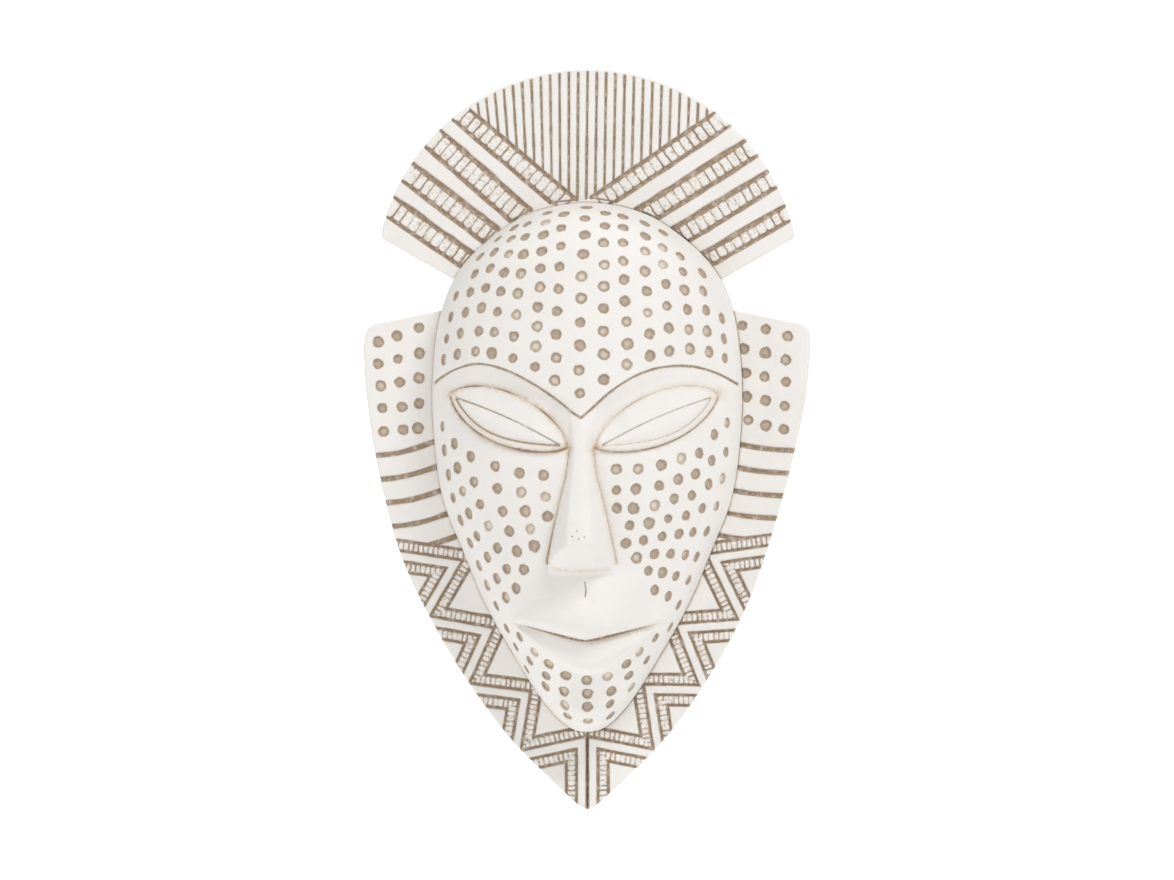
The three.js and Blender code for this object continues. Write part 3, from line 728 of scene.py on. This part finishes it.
def carve_crest(carving):
    x, z = carving.x, carving.z
    rim = CREST_RADIUS - np.hypot(x, z - CREST_CENTRE)
    top_edges = {}
    for side, sign in (("left", -1), ("right", 1)):
        edges = BAND_EDGES[side].reshape(-1, 2, 2)
        top_edges[side] = edges[0]
        for upper, lower in zip(edges[::2], edges[1::2]):
            carve_band(carving, upper, lower, sign, rim > CREST_MARGIN)
        for edge, width in zip(edges, BAND_GROOVES):
            distance, along = line_distance(x, z, edge)
            ragged = 1 + 0.2 * patches(x, z, 5 * MM, 31)
            narrowed = BAND_NARROWING * ease((along - BAND_NARROWS_FROM) / (1 - BAND_NARROWS_FROM))
            carving.groove(distance, width * (BAND_WIDEST - narrowed) * ragged)
    past_right, _ = line_side(x, z, top_edges["right"])
    past_left, _ = line_side(x, z, top_edges["left"])
    fluted = (past_right < -FLUTE_MARGIN) & (past_left > FLUTE_MARGIN) & (rim > FLUTE_RIM)
    drop = FLUTE_LEVEL - z
    left_closing = LEFT_CLOSING * (LEFT_CLOSING_MIDDLE + np.abs(x) / LEFT_CLOSING_REACH)
    closing = np.where(x < 0, left_closing, RIGHT_CLOSING)
    fan = (x + FLUTE_TILT * drop) / (1 - closing * drop).clip(0.5)
    nearest = np.abs(fan / FLUTE_PITCH - np.round(fan / FLUTE_PITCH)) * FLUTE_PITCH
    wavy = nearest + 0.14 * MM * patches(x, z, 6 * MM, 41)
    carving.groove(wavy, FLUTE_WIDTH, depth=1.0 * MM, where=fluted)


def zigzag_axes(x, z, line):
    """Signed distance to the zigzag with its corners kept sharp, and the distance along its nearest leg."""
    legs = np.diff(line, axis=0)
    legs /= np.linalg.norm(legs, axis=1)[:, None]
    turns = [legs[0]] + [(a + b) / np.linalg.norm(a + b) for a, b in zip(legs, legs[1:])] + [legs[-1]]
    best = np.full(x.shape, FAR)
    along = np.zeros(x.shape)
    for k, leg in enumerate(legs):
        start, end = line[k], line[k + 1]
        after = (x - start[0]) * turns[k][0] + (z - start[1]) * turns[k][1] >= 0
        before = (x - end[0]) * turns[k + 1][0] + (z - end[1]) * turns[k + 1][1] <= 0
        aside = (x - start[0]) * leg[1] - (z - start[1]) * leg[0]
        nearer = after & before & (np.abs(aside) < np.abs(best))
        best = np.where(nearer, aside, best)
        along = np.where(nearer, (x - start[0]) * leg[0] + (z - start[1]) * leg[1], along)
    return best, along


def carve_collar(carving, across, side):
    aside, along = zigzag_axes(across, carving.z, ZIGZAG[side])
    gap = np.abs(aside)
    ladder = (gap > STRIP_WIDTH / 2) & (gap < 1.5 * STRIP_WIDTH)
    cell_half = STRIP_WIDTH / 2 - STRIP_GROOVE / 2
    carve_cells(carving, along, gap - STRIP_WIDTH, STRIP_RUNGS, half=cell_half, where=ladder,
                rung=0.5 * MM, corner=0.6 * MM)
    ragged = 1 + 0.18 * patches(carving.x, carving.z, 4 * MM, 52)
    for offset in (STRIP_WIDTH / 2, 1.5 * STRIP_WIDTH):
        carving.groove(np.abs(gap - offset), STRIP_GROOVE * ragged)
    return gap


def carve_wing(carving, across, side, collar_gap):
    x, z = carving.x, carving.z
    clear = collar_gap > 1.5 * STRIP_WIDTH
    for n in range(BAR_COUNT):
        bar = spline(TOP_BAR[side] + n * NEXT_BAR[side], 4)
        distance, _ = line_distance(across, z, bar)
        ragged = 1 + 0.12 * patches(x, z, 5 * MM, 61 + n)
        carving.groove(distance, BAR_WIDTH * ragged, where=clear)


def wing_dots(side):
    share = np.linspace(0, 1, WING_DOT_ROWS)[:, None]
    columns = [column[:2] + (column[2:] - column[:2]) * share for column in WING_DOTS[side]]
    return [tuple(dot) for column in columns for dot in column]


def carve_board(carving, side):
    sign = -1 if side == "left" else 1
    across = sign * carving.x
    collar_gap = carve_collar(carving, across, side)
    carve_wing(carving, across, side, collar_gap)
    for dot_x, dot_z in wing_dots(side):
        dot_x = sign * dot_x + rng.normal(0, WING_DOT_JITTER)
        dot_z += rng.normal(0, WING_DOT_JITTER)
        distance = np.hypot(carving.x - dot_x, carving.z - dot_z)
        carving.dots(distance, rng.uniform(0, 0.75))
    carving.groove(across, width=1.1 * MM, depth=1.1 * MM, where=carving.z < CHIN + 2 * MM)


# ---- meshes ----

def in_scene(name, data):
    """A new object in the scene."""
    thing = bpy.data.objects.new(name, data)
    bpy.context.scene.collection.objects.link(thing)
    return thing


def make_piece(name, points, faces, painted, carving, materials):
    """A carved piece: its first points are the carving's, and its first `painted` faces are painted."""
    mesh = bpy.data.meshes.new(name)
    mesh.from_pydata(points.tolist(), [], faces)
    mesh.update()
    uncarved = len(points) - carving.x.size
    for key, carved in carving.values().items():
        numbers = np.concatenate([carved.ravel(), np.full(uncarved, 0.0 if key == "stain" else FAR / MM)])
        attribute = mesh.attributes.new(key, "FLOAT", "POINT")
        attribute.data.foreach_set("value", numbers.astype(np.float32))
    for material in materials:
        mesh.materials.append(material)
    mesh.polygons.foreach_set("material_index", [0] * painted + [1] * (len(faces) - painted))
    mesh.polygons.foreach_set("use_smooth", [True] * len(mesh.polygons))
    mesh.validate()
    piece = in_scene(name, mesh)
    weld(piece)
    return piece


def strip(first, second):
    """Faces between two rows of point numbers."""
    return [(a, b, d, c) for a, b, c, d in zip(first, first[1:], second, second[1:])]


def grid_normals(points):
    down = np.gradient(points, axis=0)
    across = np.gradient(points, axis=1)
    normals = np.cross(across, down)
    lengths = np.linalg.norm(normals, axis=-1, keepdims=True)
    normals /= np.maximum(lengths, 1e-15)
    return np.where(normals[..., 1:2] > 0, -normals, normals)


def row_heights(rows, low, high):
    """Heights from low to high, an even distance apart along the dome's middle line."""
    h = np.linspace(CHIN, CROWN, 6000)
    rise = DOME_RISE * spine_share(h)
    run = np.concatenate([[0], np.cumsum(np.hypot(np.diff(h), np.diff(rise)))])
    even = np.interp(np.linspace(0, run[-1], rows + 1), run, h)
    return low + (even - CHIN) * (high - low) / (CROWN - CHIN)


def face_front():
    heights = row_heights(FACE_ROWS, CHIN, CROWN)
    angles = np.linspace(-math.pi / 2, math.pi / 2, FACE_COLUMNS + 1)
    z = np.repeat(heights[:, None], FACE_COLUMNS + 1, axis=1)
    x = half_width(heights)[:, None] * np.sin(angles)[None, :]
    points = placed(x, BOARD_FRONT + face_rise(x, z), z).reshape(*x.shape, 3)
    normals = grid_normals(points)
    carving = Carving(x, z)
    carve_face(carving, points)
    edge = np.abs(half_width(heights)[:, None] - np.abs(x))
    carving.soak(points[..., 1] + BOARD_FRONT, spread=1.2 * MM, strength=0.4)
    cut = carving.depth * ease(edge / (0.6 * MM))
    return points - normals * cut[..., None], carving


def face_hollow():
    """The scooped-out back of the face block, its tool marks included."""
    heights = row_heights(FACE_ROWS, CHIN + FACE_WALL, CROWN - FACE_WALL)
    outer = row_heights(FACE_ROWS, CHIN, CROWN)
    angles = np.linspace(-math.pi / 2, math.pi / 2, HOLLOW_COLUMNS + 1)
    width = np.maximum(half_width(outer) - FACE_WALL, 0)
    z = np.repeat(heights[:, None], HOLLOW_COLUMNS + 1, axis=1)
    x = width[:, None] * np.sin(angles)[None, :]
    outer_x = half_width(outer)[:, None] * np.sin(angles)[None, :]
    share = dome_rise(outer_x, np.repeat(outer[:, None], x.shape[1], 1))
    gouges = 0.8 * MM * np.abs(np.sin(x / (7 * MM) * math.pi + 2.2 * patches(x, z, 22 * MM, 71)))
    depth = BOARD_FRONT - FACE_WALL / 2 + share * (1 - FACE_WALL / DOME_RISE)
    mask = ease((width[:, None] - np.abs(x)) / (3 * MM))
    return placed(x, depth - gouges * mask, z).reshape(*x.shape, 3)


def make_face(materials):
    front, carving = face_front()
    hollow = face_hollow()
    rows, columns = front.shape[:2]
    hollow_columns = hollow.shape[1]
    front_number = np.arange(rows * columns).reshape(rows, columns)
    hollow_number = front_number.size + np.arange(rows * hollow_columns).reshape(rows, hollow_columns)

    def loop(grid):
        """Round the grid's edge: up its left side, then down its right side."""
        return np.concatenate([grid[:, 0], grid[::-1, -1]])

    edge = loop(front)
    inner_edge = loop(hollow)
    soften = 0.5 * MM
    ring_depths = [(edge, soften), (edge + (inner_edge - edge) * 0.06, 0), (inner_edge, 0)]
    rings = []
    for outline, depth in ring_depths:
        ring = outline.copy()
        ring[:, 1] = -depth
        rings.append(ring)
    first = front_number.size + hollow_number.size
    ring_numbers = [first + n * len(edge) + np.arange(len(edge)) for n in range(len(rings))]

    loops = [loop(front_number), *ring_numbers, loop(hollow_number)]
    faces = [face for low, high in zip(front_number, front_number[1:]) for face in strip(low, high)]
    painted = len(faces)
    for near, far in zip(loops, loops[1:]):
        faces += strip(far, near)
        if near is loops[0]:
            painted = len(faces)
    faces += [face for low, high in zip(hollow_number, hollow_number[1:]) for face in strip(high, low)]
    points = np.vstack([front.reshape(-1, 3), hollow.reshape(-1, 3), *rings])
    return make_piece("carved_face", points, faces, painted, carving, materials)


def weld(piece):
    """Joins the points that lie together, such as a grid's rows that close to one point."""
    tidy = piece.modifiers.new("weld", "WELD")
    tidy.merge_threshold = 0.02 * MM
    bpy.context.view_layer.objects.active = piece
    with bpy.context.temp_override(object=piece):
        bpy.ops.object.modifier_apply(modifier=tidy.name)


def triangulate(outline, others):
    """Triangles that fill a closed outline, through its own points and the others inside it."""
    points = [Vector(p) for p in np.vstack([outline, others])]
    found, _, triangles, *_ = delaunay_2d_cdt(points, [], [list(range(len(outline)))], 1, 1e-7)
    return np.array([tuple(p) for p in found]), [tuple(t) for t in triangles]


def lattice_inside(outline, step, margin):
    low, high = outline.min(axis=0), outline.max(axis=0)
    xs = np.arange(low[0], high[0], step)
    zs = np.arange(low[1], high[1], step * math.sqrt(3) / 2)
    x, z = np.meshgrid(xs, zs)
    x = x + (np.arange(len(zs)) % 2)[:, None] * step / 2
    x, z = x.ravel(), z.ravel()
    keep = inside(x, z, outline)
    x, z = x[keep], z[keep]
    return np.column_stack([x, z])[edge_distance(x, z, outline) > margin]


def make_board(name, outline, carve, materials, recess=None):
    """A carved board: a finely carved front, straight sides with softened edges, and a flat back."""
    outline = evenly(outline, GRID_STEP, closed=True)
    flat, front_faces = triangulate(outline, lattice_inside(outline, GRID_STEP, 0.4 * GRID_STEP))
    x, z = flat[:, 0], flat[:, 1]
    carving = Carving(x, z)
    carve(carving)
    gap = edge_distance(x, z, outline)
    radius = np.where(beside_face(x, z) < 2 * MM, JOINT_ROUND, EDGE_ROUND)
    rounding = radius * (1 - np.sqrt(np.clip(1 - (1 - np.clip(gap / radius, 0, 1)) ** 2, 0, 1)))
    carving.soak(beside_face(x, z), spread=0.8 * MM, strength=0.5)
    wobble = 0.18 * MM * (1 + patches(x, z, 14 * MM, 81)) + 0.05 * MM * (1 + patches(x, z, 3 * MM, 82))
    depth = BOARD_FRONT - np.maximum(carving.depth, 0) - rounding - wobble
    front = placed(x, depth, z)

    ring = len(outline)
    sides = [front]
    for level in (BOARD_FRONT * 0.55, BACK_EDGE):
        sides.append(placed(outline[:, 0], np.full(ring, level), outline[:, 1]))
    faces = list(front_faces)
    edge_numbers = np.arange(ring)
    starts = [0, len(front), len(front) + ring]
    for near, far in zip(starts, starts[1:]):
        first = np.append(near + edge_numbers, near)
        second = np.append(far + edge_numbers, far)
        faces += strip(second, first)
    painted = len(faces)

    back_points, back_faces = board_back(outline, recess)
    first_back = len(front) + 2 * ring
    faces += [tuple(first_back + n for n in face) for face in back_faces]
    return make_piece(name, np.vstack([*sides, back_points]), faces, painted, carving, materials)


def board_back(outline, recess):
    """The flat back with a narrow chamfer round it, and the hanger's recess where there is one."""
    ring = len(outline)
    following = np.roll(outline, -1, axis=0) - np.roll(outline, 1, axis=0)
    following /= np.linalg.norm(following, axis=1)[:, None]
    centre_side = np.column_stack([-following[:, 1], following[:, 0]])
    area = np.sum(outline[:, 0] * np.roll(outline[:, 1], -1) - np.roll(outline[:, 0], -1) * outline[:, 1])
    shrunk = outline + centre_side * 0.35 * MM * np.sign(area)
    points = [placed(outline[:, 0], np.full(ring, BACK_EDGE), outline[:, 1])]
    others = lattice_inside(shrunk, 6 * MM, 2 * MM)
    if recess is not None:
        others = np.vstack([others, recess])
    flat, triangles = triangulate(shrunk, others)
    if recess is not None:
        middles = np.array([flat[list(t)].mean(axis=0) for t in triangles])
        low, high = recess.min(axis=0), recess.max(axis=0)
        hole = np.all((middles > low) & (middles < high), axis=1)
        triangles = [t for t, gone in zip(triangles, hole) if not gone]
    points.append(placed(flat[:, 0], np.zeros(len(flat)), flat[:, 1]))
    numbers = np.append(np.arange(ring), 0)
    faces = strip(ring + numbers, numbers)
    faces += [tuple(ring + n for n in t[::-1]) for t in triangles]
    if recess is not None:
        first = ring + len(flat)
        count = len(recess)
        for level in (0, HANGER_RECESS["depth"]):
            points.append(placed(recess[:, 0], np.full(count, level), recess[:, 1]))
        top = np.append(np.arange(count), 0)
        faces += strip(first + top, first + count + top)
        faces.append(tuple(first + count + n for n in range(count))[::-1])
    return np.vstack(points), faces


def recess_outline():
    half, low, high = HANGER_RECESS["half"], HANGER_RECESS["bottom"], HANGER_RECESS["top"]
    corners = np.array([(-half, low), (half, low), (half, high), (-half, high)])
    return evenly(corners, 3.5 * MM, closed=True)


# ---- materials ----

class Nodes:
    """A material's nodes, added one call at a time."""

    def __init__(self, name):
        self.material = bpy.data.materials.new(name)
        self.material.use_nodes = True
        self.tree = self.material.node_tree
        self.shader = self.tree.nodes["Principled BSDF"]

    def surface(self, colour, roughness, normal):
        for name, value in (("Base Color", colour), ("Roughness", roughness), ("Normal", normal)):
            self.link(value, self.shader.inputs[name])

    def link(self, value, socket):
        if isinstance(value, bpy.types.NodeSocket):
            self.tree.links.new(value, socket)
        else:
            socket.default_value = value

    def attribute(self, name):
        node = self.tree.nodes.new("ShaderNodeAttribute")
        node.attribute_name = name
        return node.outputs["Fac"]

    def position(self):
        return self.tree.nodes.new("ShaderNodeTexCoord").outputs["Object"]

    def noise(self, scale, detail=3.0, roughness=0.55, stretch=None):
        node = self.tree.nodes.new("ShaderNodeTexNoise")
        where = self.position()
        if stretch is not None:
            mapping = self.tree.nodes.new("ShaderNodeMapping")
            mapping.inputs["Scale"].default_value = stretch
            self.link(where, mapping.inputs["Vector"])
            where = mapping.outputs["Vector"]
        self.link(where, node.inputs["Vector"])
        node.inputs["Scale"].default_value = scale
        node.inputs["Detail"].default_value = detail
        node.inputs["Roughness"].default_value = roughness
        return node.outputs["Fac"]

    def math(self, operation, a, b=0.0, clamp=False):
        node = self.tree.nodes.new("ShaderNodeMath")
        node.operation = operation
        node.use_clamp = clamp
        self.link(a, node.inputs[0])
        self.link(b, node.inputs[1])
        return node.outputs[0]

    def times(self, a, b):
        return self.math("MULTIPLY", a, b)

    def ramp(self, value, low, high, to_low=0.0, to_high=1.0):
        node = self.tree.nodes.new("ShaderNodeMapRange")
        node.interpolation_type = "SMOOTHSTEP"
        self.link(value, node.inputs["Value"])
        self.link(low, node.inputs["From Min"])
        self.link(high, node.inputs["From Max"])
        node.inputs["To Min"].default_value = to_low
        node.inputs["To Max"].default_value = to_high
        return node.outputs["Result"]

    def mix(self, share, a, b):
        node = self.tree.nodes.new("ShaderNodeMix")
        node.data_type = "RGBA"
        self.link(share, node.inputs["Factor"])
        self.link(a, node.inputs["A"])
        self.link(b, node.inputs["B"])
        return node.outputs["Result"]

    def bump(self, height, distance, strength=1.0, normal=None):
        node = self.tree.nodes.new("ShaderNodeBump")
        node.inputs["Distance"].default_value = distance
        node.inputs["Strength"].default_value = strength
        self.link(height, node.inputs["Height"])
        if normal is not None:
            self.link(normal, node.inputs["Normal"])
        return node.outputs["Normal"]


def whitewash():
    """Chalky off-white paint with a thin brown wash left in every cut and wiped from the high places, with
    painted highlights that lighten the middles of the drilled dots.
    """
    n = Nodes("whitewashed_wood")
    fine = n.noise(1900, 4)
    broad = n.noise(55, 3)
    blotch = n.noise(420, 3)
    tone = n.attribute("dot_tone")

    # Where the cuts are, in mm from their edges, with the edges a little ragged
    wander = n.times(n.math("SUBTRACT", blotch, 0.5), 0.55)
    in_line = n.ramp(n.math("ADD", n.attribute("line_mm"), wander), 0.28, -0.22)
    dot = n.math("ADD", n.attribute("dot_mm"), n.times(wander, 0.9))
    in_dot = n.ramp(dot, 0.22, -0.3)

    # Painted highlight: each dot's middle is left lighter by thinning the wash there, more on some dots than
    # others at random, and some dots have less wash overall than others
    highlight_middle = n.ramp(dot, -0.45, -2.2)
    wear_and_highlight = n.ramp(n.math("ADD", tone, n.times(fine, 0.35)), 0.55, 1.25)
    painted_highlight = n.times(highlight_middle, n.math("ADD", n.times(wear_and_highlight, 0.75), 0.18))
    dot_wash = n.times(n.times(in_dot, 0.86), n.math("SUBTRACT", 1.0, painted_highlight))
    dot_wash = n.times(dot_wash, n.ramp(tone, 0.8, 1.05, 1.0, 0.45))
    line_wash = n.times(in_line, n.ramp(blotch, 0.28, 0.5, 0.62, 1.0))
    wash = n.math("MAXIMUM", line_wash, dot_wash)

    chalk_dull, chalk_bright = (0.835, 0.800, 0.758, 1), (0.905, 0.876, 0.845, 1)
    speck_brown, patch_tan, stain_tan = (0.62, 0.50, 0.37, 1), (0.80, 0.66, 0.50, 1), (0.62, 0.47, 0.31, 1)
    wash_pale, wash_mid, wash_dark = (0.53, 0.42, 0.31, 1), (0.40, 0.305, 0.215, 1), (0.26, 0.18, 0.12, 1)
    dot_tan, dot_pale = (0.66, 0.50, 0.34, 1), (0.80, 0.68, 0.52, 1)
    clean = n.mix(broad, chalk_dull, chalk_bright)
    clean = n.mix(n.times(n.ramp(fine, 0.55, 0.75), 0.16), clean, speck_brown)
    clean = n.mix(n.times(n.ramp(blotch, 0.58, 0.76), 0.16), clean, patch_tan)
    brown = n.mix(n.ramp(blotch, 0.35, 0.65), wash_pale, wash_mid)
    brown = n.mix(n.ramp(fine, 0.38, 0.68), brown, wash_dark)
    stain = n.math("MULTIPLY", n.attribute("stain"), n.ramp(blotch, 0.3, 0.62, 0.25, 1.0), clamp=True)
    tinted = n.mix(stain, clean, stain_tan)
    tinted = n.mix(n.times(in_dot, 0.42), tinted, n.mix(fine, dot_tan, dot_pale))

    n.shader.inputs["Specular IOR Level"].default_value = 0.35
    grain = n.noise(260, 4, 0.6, stretch=(1.0, 1.0, 0.12))
    sunk = n.math("ADD", n.times(in_line, 0.5), n.times(in_dot, 0.35))
    chalk = n.bump(fine, distance=0.12 * MM, strength=0.5)
    grained = n.bump(grain, distance=0.25 * MM, strength=0.35, normal=chalk)
    cut = n.bump(n.math("SUBTRACT", 1.0, sunk), distance=0.35 * MM, strength=0.6, normal=grained)
    n.surface(n.mix(wash, tinted, brown), n.ramp(wash, 0.0, 1.0, 0.62, 0.82), cut)
    return n.material


def bare_wood(name, pale, dark, stretch):
    """Unpainted wood with long grain and fine pores."""
    n = Nodes(name)
    grain = n.noise(90, 5, 0.6, stretch=stretch)
    pores = n.noise(900, 3, 0.5, stretch=stretch)
    colour = n.mix(n.ramp(grain, 0.35, 0.68), pale, dark)
    pore_brown = (0.16, 0.09, 0.05, 1)
    colour = n.mix(n.times(n.ramp(pores, 0.58, 0.75), 0.4), colour, pore_brown)
    ridged = n.bump(grain, distance=0.4 * MM, strength=0.4)
    pitted = n.bump(pores, distance=0.15 * MM, strength=0.5, normal=ridged)
    n.surface(colour, n.ramp(grain, 0.2, 0.8, 0.6, 0.8), pitted)
    return n.material


def plated_metal(name, colour, tarnish, roughness):
    """Thin plating, dulled in patches, with fine scratches."""
    n = Nodes(name)
    cloud = n.noise(350, 4)
    scratch = n.noise(1500, 2, 0.5, stretch=(1, 1, 0.08))
    n.shader.inputs["Metallic"].default_value = 1.0
    dulled = n.mix(n.ramp(cloud, 0.45, 0.75), colour, tarnish)
    rougher = n.ramp(cloud, 0.2, 0.9, roughness, roughness + 0.25)
    n.surface(dulled, rougher, n.bump(scratch, distance=0.05 * MM, strength=0.4))
    return n.material


# ---- assembly ----

def add_pieces():
    paint = whitewash()
    raw = bare_wood("bare_back", (0.46, 0.30, 0.165, 1), (0.31, 0.185, 0.095, 1), (1.0, 1.0, 0.07))
    skins = [paint, raw]
    made = {
        "face_shell": make_face(skins),
        "crest_board": make_board("carved_crest", crest_outline(), carve_crest, skins, recess_outline()),
    }
    for side in ("left", "right"):
        sign = -1 if side == "left" else 1
        outline = board_outline(side) * (sign, 1)
        if sign > 0:
            outline = outline[::-1]
        node = side + "_board"
        made[node] = make_board("carved_" + node, outline, partial(carve_board, side=side), skins)
    for node, piece in made.items():
        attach(piece, "mask")
        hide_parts(node)


def finish_nodes():
    """Gives the CAD nodes that stay their real finishes."""
    finishes = {
        "dowel": bare_wood("dowel_wood", (0.56, 0.39, 0.22, 1), (0.42, 0.27, 0.14, 1), (0.12, 1.0, 1.0)),
        "hanger_screw": plated_metal("screw_steel", (0.62, 0.62, 0.60, 1), (0.40, 0.39, 0.37, 1), 0.32),
        "hanger": plated_metal("brass_hanger", (0.72, 0.53, 0.25, 1), (0.45, 0.31, 0.14, 1), 0.28),
    }
    for name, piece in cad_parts.items():
        finish = next((m for key, m in finishes.items() if key in name), None)
        if finish is not None:
            piece.data.materials.clear()
            piece.data.materials.append(finish)


def add_camera():
    """At the photograph's viewing angle: level with the mask's middle and a little to its right."""
    distance = 4.0
    yaw = math.radians(3.0)
    frame_height = 0.4264
    target = Vector((0.0002, -0.02, TIP_Z + 0.1798))
    frame_shape = 1174 / 880
    sensor_width = 36
    data = bpy.data.cameras.new("camera")
    data.sensor_width = sensor_width
    data.lens = sensor_width * distance / (frame_height * frame_shape)
    camera = in_scene("camera", data)
    camera.location = target + distance * Vector((math.sin(yaw), -math.cos(yaw), 0))
    camera.rotation_euler = (math.pi / 2, 0, yaw)
    bpy.context.scene.camera = camera


def add_light(name, place, size, power, target=(0, 0, MIDDLE_Z)):
    data = bpy.data.lights.new(name, "AREA")
    data.shape = "DISK"
    data.size = size
    data.energy = power
    light = in_scene(name, data)
    light.location = place
    aim = Vector(target) - Vector(place)
    light.rotation_euler = aim.to_track_quat("-Z", "Y").to_euler()


def add_backdrop():
    """A pale floor that curves up into a wall, so far behind the mask that its back can be seen too."""
    side, front, back, round_radius, top = 6.0, -7.0, 5.2, 1.2, 4.0
    floor_z = TIP_Z - 0.12
    turn = np.linspace(0, math.pi / 2, 25)
    profile = [(front, floor_z)]
    profile += [(back + round_radius * math.sin(a), floor_z + round_radius * (1 - math.cos(a))) for a in turn]
    profile.append((back + round_radius, floor_z + top))
    points = [(x, y, z) for y, z in profile for x in (-side, side)]
    faces = [(2 * n, 2 * n + 1, 2 * n + 3, 2 * n + 2) for n in range(len(profile) - 1)]
    mesh = bpy.data.meshes.new("floor")
    mesh.from_pydata(points, [], faces)
    pale = Nodes("pale_floor")
    cloud = pale.mix(pale.noise(4), (0.8, 0.8, 0.8, 1), (0.83, 0.83, 0.83, 1))
    pale.link(cloud, pale.shader.inputs["Base Color"])
    pale.shader.inputs["Roughness"].default_value = 0.9
    mesh.materials.append(pale.material)
    in_scene("floor", mesh)


def add_studio():
    add_light("key", (0.8, -1.1, MIDDLE_Z + 1.5), size=0.8, power=16)
    add_light("fill", (-1.6, -1.3, MIDDLE_Z + 0.5), size=1.2, power=6)
    lit_wall = (0, 4.2, MIDDLE_Z - 0.4)
    add_light("backdrop_light", (0, 3.0, MIDDLE_Z + 3.2), size=5.0, power=270, target=lit_wall)
    world = bpy.data.worlds.new("studio")
    bpy.context.scene.world = world
    world.use_nodes = True
    background = world.node_tree.nodes["Background"]
    background.inputs["Color"].default_value = (1, 1, 1, 1)
    background.inputs["Strength"].default_value = 0.53
    bpy.context.scene.view_settings.view_transform = "Standard"
    add_backdrop()


add_camera()
add_pieces()
finish_nodes()
add_studio()
